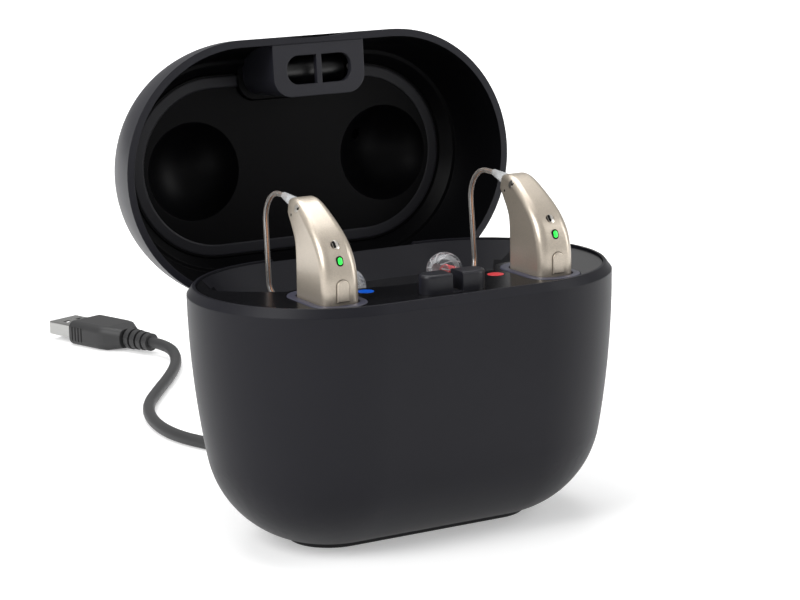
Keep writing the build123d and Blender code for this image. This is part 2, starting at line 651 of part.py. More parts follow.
with BuildPart() as latch_plate:
    for inset, low, high, mode in (
        (0.0, LATCH_LOW, LATCH_TOP, Mode.ADD),
        (LATCH_WALL, LATCH_LOW + LATCH_PLATE, LATCH_TOP + 1, Mode.SUBTRACT),
    ):
        front = -(HALF_DEPTH - LID_WALL / 2)
        middle, deep = span(front - SLACK + inset, LATCH_BACK - inset)
        with BuildSketch(Plane.XY.offset(low)):
            with Locations((0, middle)):
                RectangleRounded(2 * (LATCH_HALF - inset), deep, LATCH_CORNER - inset)
            with Locations((0, front + inset + SLACK)):
                Rectangle(SLACK * 2, SLACK * 2, mode=Mode.INTERSECT)
        extrude(amount=high - low, mode=mode)
    with BuildSketch(Plane.XY.offset(LATCH_LOW)):
        with Locations((0, WINDOW_Y)):
            RectangleRounded(WINDOW_WIDE, WINDOW_DEEP, WINDOW_CORNER)
            Rectangle(CROSSBAR, WINDOW_DEEP, mode=Mode.SUBTRACT)
    extrude(amount=LATCH_PLATE, mode=Mode.SUBTRACT)
    add(lid_room.part, mode=Mode.INTERSECT)
    add(lid_shell.part, mode=Mode.SUBTRACT)
finish(open_lid(latch_plate.part), "latch_plate")

with BuildPart() as drying_capsule:
    rod((-CAPSULE_HALF, CAPSULE_HALF), KEY_Y, CAPSULE_Z, CAPSULE_RADIUS)
    fillet(drying_capsule.edges(), radius=1.2)
    block((-CAPSULE_HALF + 1, CAPSULE_HALF - 1), (KEY_Y - 1, KEY_Y + 3), (CAPSULE_Z, LATCH_TOP))
    add(lid_shell.part, mode=Mode.SUBTRACT)
finish(open_lid(drying_capsule.part), "drying_capsule")

with BuildPart() as lid_magnets:
    low = LATCH_LOW + LATCH_PLATE
    for x in (-MAGNET_X + 0.6, MAGNET_X - 0.6):
        post(x, KEY_Y, (low, low + MAGNET_HIGH), MAGNET_RADIUS - 0.5)
finish(open_lid(lid_magnets.part), "lid_magnets")

# Hearing aids
for side, facts in SIDES.items():
    x = facts["way"] * AID_X

    with BuildPart() as aid_shell:
        for y, z, lean, deep, wide in AID_SECTIONS:
            tip = Vector(0, sin(radians(lean)), cos(radians(lean)))
            with BuildSketch(Plane(origin=(x, y, z), x_dir=(1, 0, 0), z_dir=tip)):
                RectangleRounded(wide, deep, AID_CORNER * min(wide, deep))
        loft()
        # Room for the button, the cell and the circuit
        block((x - BUTTON_HALF - BUTTON_GAP, x + BUTTON_HALF + BUTTON_GAP),
              (BUTTON_FACE - 2, BUTTON_BACK + BUTTON_TRAVEL + 0.2),
              (BUTTON_LOW - BUTTON_GAP, BUTTON_TOP - BUTTON_HALF), mode=Mode.SUBTRACT)
        with Locations(Location((x, BUTTON_BACK + BUTTON_TRAVEL - 2.4, BUTTON_TOP - BUTTON_HALF), (90, 0, 0))):
            Cylinder(BUTTON_HALF + BUTTON_GAP, 5.2, mode=Mode.SUBTRACT)
        block((x - 3.3, x + 3.3), (-22.4, -11.0), (55.0, 71.4), mode=Mode.SUBTRACT)
        block((x - 2.5, x + 2.5), (-18.6, -11.0), (71.4, 77.4), mode=Mode.SUBTRACT)
        for y, z, lean, radius, deep in (
            (LIGHT_Y, LIGHT_Z, LIGHT_LEAN, LIGHT_RADIUS, 1.1), (MIC_Y, MIC_Z, MIC_LEAN, MIC_RADIUS, 0.9),
        ):
            with Locations(Location((x, y, z), (90 - lean, 0, 0))):
                Cylinder(radius, 2 * deep, mode=Mode.SUBTRACT)
        for reach in (-PIN_SPREAD, PIN_SPREAD):
            post(x, DOCK_Y + reach, (52, 53.5), 1.3, mode=Mode.SUBTRACT)
    finish(aid_shell.part, f"{side}_aid_shell")

    with BuildPart() as aid_button:
        block((x - BUTTON_HALF, x + BUTTON_HALF), (BUTTON_FACE, BUTTON_BACK), (BUTTON_LOW, BUTTON_TOP - BUTTON_HALF))
        middle, deep = span(BUTTON_FACE, BUTTON_BACK)
        with Locations(Location((x, middle, BUTTON_TOP - BUTTON_HALF), (90, 0, 0))):
            Cylinder(BUTTON_HALF, deep)
        fillet(aid_button.faces().sort_by(Axis.Y)[0].edges(), radius=0.3)
    finish(aid_button.part, f"{side}_aid_button")

    with BuildPart() as aid_light:
        with Locations(Location((x, LIGHT_Y, LIGHT_Z), (90 - LIGHT_LEAN, 0, 0))):
            Cylinder(LIGHT_RADIUS, 2.0)
    finish(aid_light.part, f"{side}_aid_light")

    with BuildPart() as microphone_cover:
        with Locations(Location((x, MIC_Y, MIC_Z), (90 - MIC_LEAN, 0, 0))):
            Cylinder(MIC_RADIUS, 1.6)
    finish(microphone_cover.part, f"{side}_microphone_cover")

    with BuildPart() as charge_pads:
        for reach in (-PIN_SPREAD, PIN_SPREAD):
            post(x, DOCK_Y + reach, (53.0, 53.5), 1.3)
    finish(charge_pads.part, f"{side}_charge_pads")

    with BuildPart() as aid_cell:
        block((x - 3.1, x + 3.1), (-22.0, -11.4), (55.4, 70.4))
        fillet(aid_cell.edges().filter_by(Axis.Z), radius=2.6)
        post(x, -16.7, (70.4, 70.8), 1.6)
    finish(aid_cell.part, f"{side}_aid_cell")

    with BuildPart() as aid_circuit:
        block((x - 2.0, x + 2.0), (-18.0, -11.6), (71.8, 72.8))
        block((x - 1.5, x + 1.5), (-17.0, -12.6), (72.8, 76.4))
    finish(aid_circuit.part, f"{side}_aid_circuit")

    start = Vector(x, WIRE_START_Y, WIRE_START_Z)
    y, z, lean, deep, wide = AID_SECTIONS[-1]
    tip = Vector(0, sin(radians(lean)), cos(radians(lean)))
    with BuildPart() as wire_plug:
        with BuildSketch(Plane(origin=(x, y, z), x_dir=(1, 0, 0), z_dir=tip)):
            Circle(1.75)
        with BuildSketch(Plane(origin=start, x_dir=(1, 0, 0), z_dir=(0, 1, 0))):
            Circle(0.85)
        loft()
    finish(wire_plug.part, f"{side}_wire_plug")

    ear = Vector(*facts["ear"])
    bend = Vector(*facts["bend"])
    route = [start, (x, facts["top"], WIRE_START_Z), (x, facts["foot"], WIRE_FLOOR), bend, ear]
    ear_wire = tube(route, WIRE_RADIUS, f"{side} ear wire", radii=WIRE_RADII)
    finish(ear_wire.part, f"{side}_ear_wire")

    way = (ear - bend).normalized()
    cap = ear + way * RECEIVER_LONG
    with BuildPart() as receiver:
        with BuildSketch(Plane(origin=ear, z_dir=way)):
            Circle(RECEIVER_RADIUS)
        extrude(amount=RECEIVER_LONG)
        fillet(receiver.edges(), radius=0.4)
    finish(receiver.part, f"{side}_receiver")

    with BuildPart() as dome_hollow:
        Sphere(DOME_RADIUS - DOME_SKIN)
        post(0, 0, (0, DOME_RADIUS), DOME_NOZZLE, mode=Mode.SUBTRACT)
    with BuildPart() as dome:
        Sphere(DOME_RADIUS)
        add(dome_hollow.part, mode=Mode.SUBTRACT)
        block((-SLACK, SLACK), (-SLACK, SLACK), (-SLACK, -DOME_SKIRT), mode=Mode.SUBTRACT)
    finish(Plane(origin=cap, z_dir=way).location * dome.part, f"{side}_ear_dome")

# Lead: small plug in the jack, its boot, and the cord
with BuildPart() as case_plug_shell:
    block((-4.1, 4.1), (16.0, CASE_PLUG_FACE), (JACK_Z - 1.2, JACK_Z + 1.2))
    fillet(case_plug_shell.edges().filter_by(Axis.Y), radius=1.1)
    block((-3.4, 3.4), (15, 20.6), (JACK_Z - 0.55, JACK_Z + 0.55), mode=Mode.SUBTRACT)
finish(case_plug_shell.part, "case_plug_shell")

with BuildPart() as case_plug_grip:
    with BuildSketch(Plane(origin=(0, CASE_PLUG_FACE, JACK_Z), x_dir=(1, 0, 0), z_dir=(0, 1, 0))):
        RectangleRounded(11.4, 6.8, 3.0)
    extrude(amount=CASE_PLUG_END - CASE_PLUG_FACE)
    fillet(case_plug_grip.edges().group_by(Axis.Y)[-1], radius=1.0)
    with BuildSketch(Plane(origin=(0, CASE_PLUG_END, JACK_Z), x_dir=(1, 0, 0), z_dir=(0, 1, 0))):
        Circle(2.9)
    with BuildSketch(Plane(origin=(0, CASE_BOOT_END, JACK_Z), x_dir=(1, 0, 0), z_dir=(0, 1, 0))):
        Circle(2.3)
    loft()
finish(case_plug_grip.part, "case_plug_grip")

lead_tail = tube(TAIL_ROUTE, LEAD_RADIUS, "lead tail")
finish(lead_tail.part, "usb_lead_tail")
lead_free = tube(LEAD_ROUTE, LEAD_RADIUS, "lead")
finish(lead_free.part, "usb_lead_free")

# Coil: half turns draw in on the low layer, climb, and widen again on the high layer
half_turns = [(COIL_RADIUS - COIL_DRAW_IN * k, COIL_LOW) for k in range(COIL_HALF_TURNS + 1)]
half_turns += [(radius, COIL_HIGH) for radius, low in reversed(half_turns[1:])]
half_turns.append((COIL_EXIT_RADIUS, COIL_HIGH))
stops = []
for index, (radius, z) in enumerate(half_turns):
    stops.append(Vector(COIL_X + (radius if index % 2 else -radius), COIL_Y, z))
arcs = []
for index, (a, b) in enumerate(zip(stops, stops[1:])):
    heading = Vector(0, 1 if index % 2 == 0 else -1, 0)
    joint = (a + b) / 2 + heading * ((b - a).length / 2)
    arcs += [(a, joint, heading), (joint, b, b - a)]
exit_point = Vector(COIL_X, COIL_Y - COIL_EXIT_RADIUS, COIL_HIGH)
arcs.append((stops[-1], exit_point, Vector(0, -1, 0)))
coil_start = Vector(*TAIL_ROUTE[-1])
with BuildPart() as lead_coil:
    with BuildLine() as coil_path:
        Line(coil_start, stops[0])
        for a, b, heading in arcs:
            TangentArc(a, b, tangent=heading)
        Line(exit_point, exit_point - Vector(LEAD_STUB, 0, 0))
    with BuildSketch(Plane(origin=coil_start, z_dir=(0, 1, 0))):
        Circle(LEAD_RADIUS)
    sweep(path=coil_path.wire())
finish(lead_coil.part, "usb_lead_coil")

coil_wire = coil_path.wire()
coil_length = coil_wire.length
samples = int(coil_length)
places = [coil_wire.position_at(index / samples) for index in range(samples + 1)]
APART = 20
least = min(
    (near - far).length for index, near in enumerate(places) for far in places[index + APART:]
)
share = lead_coil.part.volume / (pi * LEAD_RADIUS**2 * coil_length)
print("coil length", round(coil_length, 1), "least gap", round(least - 2 * LEAD_RADIUS, 2), "volume share", round(share, 4))

TIE_WIDE = 5.0
TIE_LONG = 18.6
TIE_HIGH = 9.1
TIE_SKIN = 0.45
with BuildPart() as lead_tie:
    tie_middle = (COIL_X + 19.9, COIL_Y - TIE_WIDE / 2, TIE_HIGH / 2 + 0.05)
    with BuildSketch(Plane(origin=tie_middle, x_dir=(1, 0, 0), z_dir=(0, 1, 0))):
        RectangleRounded(TIE_LONG, TIE_HIGH, 2.2)
        RectangleRounded(TIE_LONG - 2 * TIE_SKIN, TIE_HIGH - 2 * TIE_SKIN, 2.2 - TIE_SKIN, mode=Mode.SUBTRACT)
    extrude(amount=TIE_WIDE)
finish(lead_tie.part, "lead_tie")

# Large plug at the lead's end, drawn along +X and laid where it lies
plug_place = Plane(origin=PLUG_END, x_dir=PLUG_WAY, z_dir=(0, 0, 1))
with BuildPart() as plug_boot:
    for index in range(4):
        at = PLUG_BOOT * index / 4
        rod((at, at + PLUG_BOOT / 4 - 0.7), 0, 0, 2.9 + 0.2 * index)
    rod((0, PLUG_BOOT), 0, 0, 2.45)
finish(plug_place.location * plug_boot.part, "usb_plug_boot")

with BuildPart() as plug_grip:
    with BuildSketch(Plane.YZ.offset(PLUG_BOOT)):
        RectangleRounded(8.6, 6.4, 2.4)
    with BuildSketch(Plane.YZ.offset(PLUG_BOOT + 5)):
        RectangleRounded(PLUG_WIDE - 1, PLUG_HIGH, 2.4)
    with BuildSketch(Plane.YZ.offset(PLUG_BOOT + 8)):
        RectangleRounded(PLUG_WIDE, PLUG_HIGH, 2.4)
    loft(ruled=True)
    with BuildSketch(Plane.YZ.offset(PLUG_BOOT + 8)):
        RectangleRounded(PLUG_WIDE, PLUG_HIGH, 2.4)
    extrude(amount=PLUG_GRIP_END - PLUG_BOOT - 8)
    fillet(plug_grip.edges().group_by(Axis.X)[-1], radius=0.8)
    for index in range(4):
        at = PLUG_GRIP_END - 2.2 - 1.5 * index
        for y in (-PLUG_WIDE / 2, PLUG_WIDE / 2):
            block((at - 0.3, at + 0.3), (y - 0.35, y + 0.35), (-2.4, 2.4), mode=Mode.SUBTRACT)
finish(plug_place.location * plug_grip.part, "usb_plug_grip")

with BuildPart() as plug_shell:
    block((PLUG_GRIP_END, PLUG_TIP), (-SHELL_WIDE / 2, SHELL_WIDE / 2), (-SHELL_HIGH / 2, SHELL_HIGH / 2))
    fillet(plug_shell.edges().filter_by(Axis.X), radius=0.5)
    block(
        (PLUG_GRIP_END - 1, PLUG_TIP + 1), (-SHELL_WIDE / 2 + SHELL_SKIN, SHELL_WIDE / 2 - SHELL_SKIN),
        (-SHELL_HIGH / 2 + SHELL_SKIN, SHELL_HIGH / 2 - SHELL_SKIN), mode=Mode.SUBTRACT,
    )
    for y in (-2.6, 2.6):
        block((PLUG_TIP - 6.6, PLUG_TIP - 4.4), (y - 1.2, y + 1.2), (-SLACK, SLACK), mode=Mode.SUBTRACT)
finish(plug_place.location * plug_shell.part, "usb_plug_shell")

with BuildPart() as plug_insert:
    half = SHELL_WIDE / 2 - SHELL_SKIN - 0.05
    low = -SHELL_HIGH / 2 + SHELL_SKIN + 0.02
    block((PLUG_GRIP_END, PLUG_TIP - 0.4), (-half, half), (low, 0.0))
finish(plug_place.location * plug_insert.part, "usb_plug_insert")
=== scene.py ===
"""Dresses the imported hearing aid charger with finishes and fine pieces.

Metres, +Z up, +X to the right, -Y to the front. Sizes in the tables below are in millimetres.
"""

import json
from math import cos, pi, radians, sin, tan

import bmesh
import bpy
from bpy.props import FloatProperty, FloatVectorProperty, IntProperty, PointerProperty
from mathutils import Matrix, Vector
from mathutils.bvhtree import BVHTree

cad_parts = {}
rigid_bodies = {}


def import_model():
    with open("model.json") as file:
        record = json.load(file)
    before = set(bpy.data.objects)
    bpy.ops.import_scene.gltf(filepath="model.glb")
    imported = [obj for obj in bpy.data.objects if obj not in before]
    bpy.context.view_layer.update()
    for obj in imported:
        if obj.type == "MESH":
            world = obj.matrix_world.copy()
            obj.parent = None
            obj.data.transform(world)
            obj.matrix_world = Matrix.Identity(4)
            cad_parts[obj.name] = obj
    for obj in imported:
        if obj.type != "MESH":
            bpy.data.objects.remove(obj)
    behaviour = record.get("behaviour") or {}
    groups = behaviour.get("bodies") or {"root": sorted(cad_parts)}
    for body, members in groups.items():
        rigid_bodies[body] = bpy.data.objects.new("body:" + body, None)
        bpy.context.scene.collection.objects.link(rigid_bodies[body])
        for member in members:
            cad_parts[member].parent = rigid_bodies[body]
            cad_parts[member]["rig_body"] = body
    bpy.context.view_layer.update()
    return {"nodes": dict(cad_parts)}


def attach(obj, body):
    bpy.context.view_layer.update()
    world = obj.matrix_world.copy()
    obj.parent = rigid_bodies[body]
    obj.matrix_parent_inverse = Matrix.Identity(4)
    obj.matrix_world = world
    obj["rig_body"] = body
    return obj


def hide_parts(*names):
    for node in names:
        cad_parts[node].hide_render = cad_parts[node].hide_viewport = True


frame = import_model()

bl_info = {
    "name": "Hearing aid charger",
    "version": (1, 0, 0),
    "blender": (4, 5, 0),
    "location": "View3D > Sidebar > Charger",
    "description": "Finishes and fine pieces for a charging case with two hearing aids",
    "category": "Object",
}

MM = 0.001
NODES = frame["nodes"]
WHITE = (1.0, 1.0, 1.0, 1.0)

# Carried-over meshes: the angle past which an edge stays sharp, and how near corners are joined, in metres
SHARP = 32.0
AID_SHARP = 38.0
JOIN = 2e-6

# Camera
CAMERA_PLACE = (-278.05, -513.39, 182.71)
CAMERA_TARGET = (-0.87, 0.0, 57.02)
CAMERA_ROLL = -1.256
CAMERA_LENS = 108.79
CAMERA_SENSOR = 36.0

# Lid hinge
HINGE = (0.0, 30.2, 56.0)
OPEN_ANGLE = 93.6

# Hearing aids: distance from the middle; then for each side the way along X, where the receiver starts,
# where its wire bends, and how far back the wire's top and foot lie
AID_X = 29.4
SIDES = {
    "left": {"way": -1, "ear": (-20.2, 2.8, 60.3), "bend": (-24.9, 5.3, 58.6), "top": 15.95, "foot": 14.6},
    "right": {"way": 1, "ear": (19.2, 6.8, 60.3), "bend": (23.9, 9.3, 58.6), "top": 17.3, "foot": 14.9},
}
WIRE_START = (4.5, 85.4)
WIRE_FLOOR = 58.4
WIRE_RADII = (8.0, 4.0, 2.4)
RECEIVER_LONG = 5.9
CORE_SHIFT = 0.24
CORE_RADIUS = 0.16
CORE_SIDES = 3
BEND_STEPS = 14

# Ear domes: where a rib starts and how far it runs in degrees, its thickness by the dome's size, its inset
RIB_START, RIB_SWEEP = -14.0, 84.0
RIB_STEPS, RIB_SIDES = 14, 6
RIB_SHARE = 0.016
RIB_INSET = 1.4

# Lid, in its closed place: half its straight length, the level that the rim lies below, and how far a face
# points down, up or out to count as rim, crown or outer wall
STRAIGHT = 21.5
RIM_LEVEL = 65.2
RIM_DOWN, CROWN_UP, WALL_OUT = -0.9, 0.5, 0.02
RING_HIGH, RING_DEEP = 85.45, 3.1
RING_RADIUS, RING_SLOPE, RING_FLAT = 20.5, 2.4, 0.5
RING_STEPS, RING_ROUND = 32, 0.999

# Trough's back wall, which takes a darker copy of the case plastic as painted shade: it lies behind this
# line, and its faces lean forwards and up by at least this much
TROUGH_BACK = 20.0
WALL_FORWARD, WALL_UP = -0.3, 0.2

# Lead
LEAD_EXIT = (0.0, 52.0, 11.0)
TAIL = [LEAD_EXIT, (0.0, 67.0, 11.0), (2.0, 82.5, 2.4), (2.0, 92.4, 2.4)]
COIL_MIDDLE = (27.5, 96.0)
COIL_RADIUS = 25.5
COIL_EXIT_RADIUS = 26.5
COIL_DRAW_IN = 2.45
COIL_LOW = 2.4
COIL_HIGH = 6.7
COIL_HALF_TURNS = 5
COIL_STEPS = 6
COIL_SWELL = 1.035
COIL_EXIT_STEPS = 3
COIL_END = (3.0, 0.1)
LEAD_RINGS, LEAD_ORDER, LEAD_SIDES = 8, 3, 6
FREE_RUN = [
    (15.9, 69.5, 6.7),
    (3.5, 70.2, 2.6),
    (-8.5, 77.0, 1.85),
    (-16.2, 89.5, 1.85),
    (-20.2, 104.0, 1.85),
    (-18.8, 121.0, 1.85),
    (-13.0, 137.5, 1.85),
    (-3.0, 152.6, 1.85),
    (8.0, 168.5, 1.85),
    (17.2, 184.5, 1.95),
    (20.0, 196.42, 4.0),
    (17.0, 205.0, 4.0),
]

# Floor, in metres: its own glow near the object, and where and how fast that grows farther away
FLOOR_GLOW = 0.34
FLOOR_NEAR, FLOOR_RISE, FLOOR_MOST = 0.3, 0.8, 0.6
FLOOR_LOW, FLOOR_HIGH = (0.8, 0.8, 0.8), (0.82, 0.82, 0.82)
FLOOR_HALF, FLOOR_CELLS = 8.0, 8

# World's light on the object, and the lamps in metres and watts: name, place, size, power
WORLD_LIGHT = 0.42
LAMP_AIM = (0.0, 0.0, 0.06)
LAMPS = (
    ("key_softbox", (-0.85, -0.2, 0.7), (0.5, 0.7), 9.0),
    ("right_softbox", (0.8, -0.5, 0.45), (0.3, 0.8), 4.0),
    ("top_softbox", (0.05, 0.35, 1.0), (0.9, 0.5), 7.0),
)


class Value:
    """A node's output; arithmetic on it adds Math nodes beside it."""

    def __init__(self, web, socket):
        self.web, self.socket = web, socket

    def maths(self, operation, first, second):
        return self.web.node("ShaderNodeMath", {"operation": operation}, {0: first, 1: second})

    def also(self, output):
        return Value(self.web, self.socket.node.outputs[output])

    def __add__(self, other):
        return self.maths("ADD", self, other)

    __radd__ = __add__

    def __sub__(self, other):
        return self.maths("SUBTRACT", self, other)

    def __rsub__(self, other):
        return self.maths("SUBTRACT", other, self)

    def __mul__(self, other):
        return self.maths("MULTIPLY", self, other)

    __rmul__ = __mul__

    def __truediv__(self, other):
        return self.maths("DIVIDE", self, other)


class Web:
    """The nodes of one finish or one mesh recipe."""

    def __init__(self, tree):
        self.tree = tree
        tree.nodes.clear()

    def node(self, kind, settings=None, inputs=None, out=0):
        """Adds a node with its settings and the values or links of its sockets, and gives one output."""
        made = self.tree.nodes.new(kind)
        for key, value in (settings or {}).items():
            setattr(made, key, value)
        for key, value in (inputs or {}).items():
            if isinstance(value, Value):
                self.tree.links.new(value.socket, made.inputs[key])
            else:
                made.inputs[key].default_value = value
        return Value(self, made.outputs[out]) if len(made.outputs) else None

    def place(self, stretch=(1.0, 1.0, 1.0)):
        own = self.node("ShaderNodeTexCoord", out="Object")
        return self.node("ShaderNodeMapping", inputs={"Vector": own, "Scale": stretch})

    def noise(self, scale, detail=2.0, stretch=(1.0, 1.0, 1.0)):
        fed = {"Vector": self.place(stretch), "Scale": scale, "Detail": detail}
        return self.node("ShaderNodeTexNoise", inputs=fed)

    def blend(self, share, low, high):
        """Mixes two plain colours; a Mix node repeats its sockets' names, so they go by number."""
        fed = {0: share, 6: (*low, 1.0), 7: (*high, 1.0)}
        return self.node("ShaderNodeMix", {"data_type": "RGBA"}, fed, out=2)

    def vector(self, x, y):
        return self.node("ShaderNodeCombineXYZ", inputs={"X": x, "Y": y})

    def surface(self, **sockets):
        fed = {key.replace("_", " "): value for key, value in sockets.items()}
        if "Base Color" in fed and not isinstance(fed["Base Color"], Value):
            fed["Base Color"] = (*fed["Base Color"], 1.0)
        shader = self.node("ShaderNodeBsdfPrincipled", inputs=fed)
        self.node("ShaderNodeOutputMaterial", inputs={"Surface": shader})


def new_finish(name):
    material = bpy.data.materials.new(name)
    material.use_nodes = True
    return material, Web(material.node_tree)


def new_recipe(name, sizes):
    """Starts a mesh recipe with named inputs; gives its nodes and a finder for its inputs."""
    tree = bpy.data.node_groups.new(name, "GeometryNodeTree")
    tree.interface.new_socket("Geometry", in_out="OUTPUT", socket_type="NodeSocketGeometry")
    for label, kind in sizes.items():
        tree.interface.new_socket(label, in_out="INPUT", socket_type=kind)
    web = Web(tree)
    asked = web.node("NodeGroupInput")
    return web, asked.also


def end_recipe(web, shape, finish):
    """Closes a recipe: real faces, one finish, one output."""
    real = web.node("GeometryNodeRealizeInstances", inputs={"Geometry": shape})
    painted = web.node("GeometryNodeSetMaterial", inputs={"Geometry": real, "Material": FINISHES[finish]})
    web.node("NodeGroupOutput", inputs={"Geometry": painted})


def shade(colour, factor):
    return tuple(min(1.0, part * factor) for part in colour)


def moulded(name, colour, rough, grain=0.12, edge=0.0003, **fixed):
    """Moulded plastic: fine grain, faint cloudiness and rounded edges that catch the light."""
    material, web = new_finish(name)
    cloud, speck = web.noise(70.0), web.noise(5200.0, 1.0)
    soft = web.node("ShaderNodeBevel", {"samples": 4}, {"Radius": edge})
    bump = web.node("ShaderNodeBump", inputs={
        "Strength": grain, "Distance": 0.00003, "Height": speck, "Normal": soft})
    web.surface(
        Base_Color=web.blend(cloud * 0.7 + speck * 0.3, shade(colour, 0.86), shade(colour, 1.14)),
        Roughness=rough + (speck - 0.5) * 0.08 + (cloud - 0.5) * 0.06, Normal=bump, **fixed)
    return material


def metal(name, colour, rough, stretch=(1.0, 1.0, 1.0)):
    """Bare or plated metal with fine lines along its working direction."""
    material, web = new_finish(name)
    lines, cloud = web.noise(2600.0, 2.0, stretch), web.noise(120.0)
    bump = web.node("ShaderNodeBump", inputs={"Strength": 0.12, "Distance": 0.00002, "Height": lines})
    web.surface(
        Base_Color=web.blend(lines, shade(colour, 0.88), shade(colour, 1.06)), Metallic=1.0,
        Roughness=rough + (lines - 0.5) * 0.12 + (cloud - 0.5) * 0.08, Normal=bump)
    return material


def lacquered(name, colour):
    """Champagne metallic lacquer: fine flakes under a clear coat."""
    material, web = new_finish(name)
    flake = web.node("ShaderNodeTexVoronoi", inputs={"Vector": web.place(), "Scale": 9000.0}, out="Color")
    bright = web.node("ShaderNodeSeparateColor", inputs={"Color": flake})
    cloud = web.noise(160.0)
    bump = web.node("ShaderNodeBump", inputs={"Strength": 0.1, "Distance": 0.00002, "Height": bright})
    web.surface(
        Base_Color=web.blend(bright * 0.8 + cloud * 0.2, shade(colour, 0.84), shade(colour, 1.16)),
        Metallic=0.55 + bright * 0.25, Roughness=0.36 + (bright - 0.5) * 0.16, Normal=bump,
        Coat_Weight=0.25 + cloud * 0.1, Coat_Roughness=0.18)
    return material


def clear(name, tint, body, gloss=0.06):
    """Thin clear plastic or silicone: mostly see-through, with bright gloss at its edges."""
    material, web = new_finish(name)
    cloud, rim = web.noise(420.0), web.node("ShaderNodeFresnel", inputs={"IOR": 1.45})
    bump = web.node("ShaderNodeBump", inputs={"Strength": 0.08, "Distance": 0.00003, "Height": cloud})
    web.surface(
        Base_Color=web.blend(cloud, shade(tint, 0.93), tint), Roughness=gloss + cloud * 0.05,
        Alpha=body + (1.0 - body) * 0.6 * rim + cloud * 0.04, Normal=bump, IOR=1.45)
    return material


def lit_lens(name, colour):
    """Glowing lens of the indicator light, brightest in its middle."""
    material, web = new_finish(name)
    rim = web.node("ShaderNodeLayerWeight", inputs={"Blend": 0.4}, out="Facing")
    glow = web.blend(rim, colour, shade(colour, 0.35))
    web.surface(Base_Color=colour, Roughness=0.2, Emission_Color=glow, Emission_Strength=0.7)
    return material


def board(name, colour):
    """Circuit board: solder mask over faint copper tracks."""
    material, web = new_finish(name)
    tracks = web.node("ShaderNodeTexBrick", {"offset": 0.5}, {
        "Vector": web.place(), "Scale": 300.0, "Mortar Size": 0.03,
        "Color1": (*shade(colour, 0.9), 1.0), "Color2": (*colour, 1.0),
        "Mortar": (*shade(colour, 2.2), 1.0)})
    mask = web.noise(900.0)
    bump = web.node("ShaderNodeBump", inputs={"Strength": 0.3, "Distance": 0.00004, "Height": mask})
    web.surface(Base_Color=tracks, Roughness=0.3 + mask * 0.15, Normal=bump)
    return material


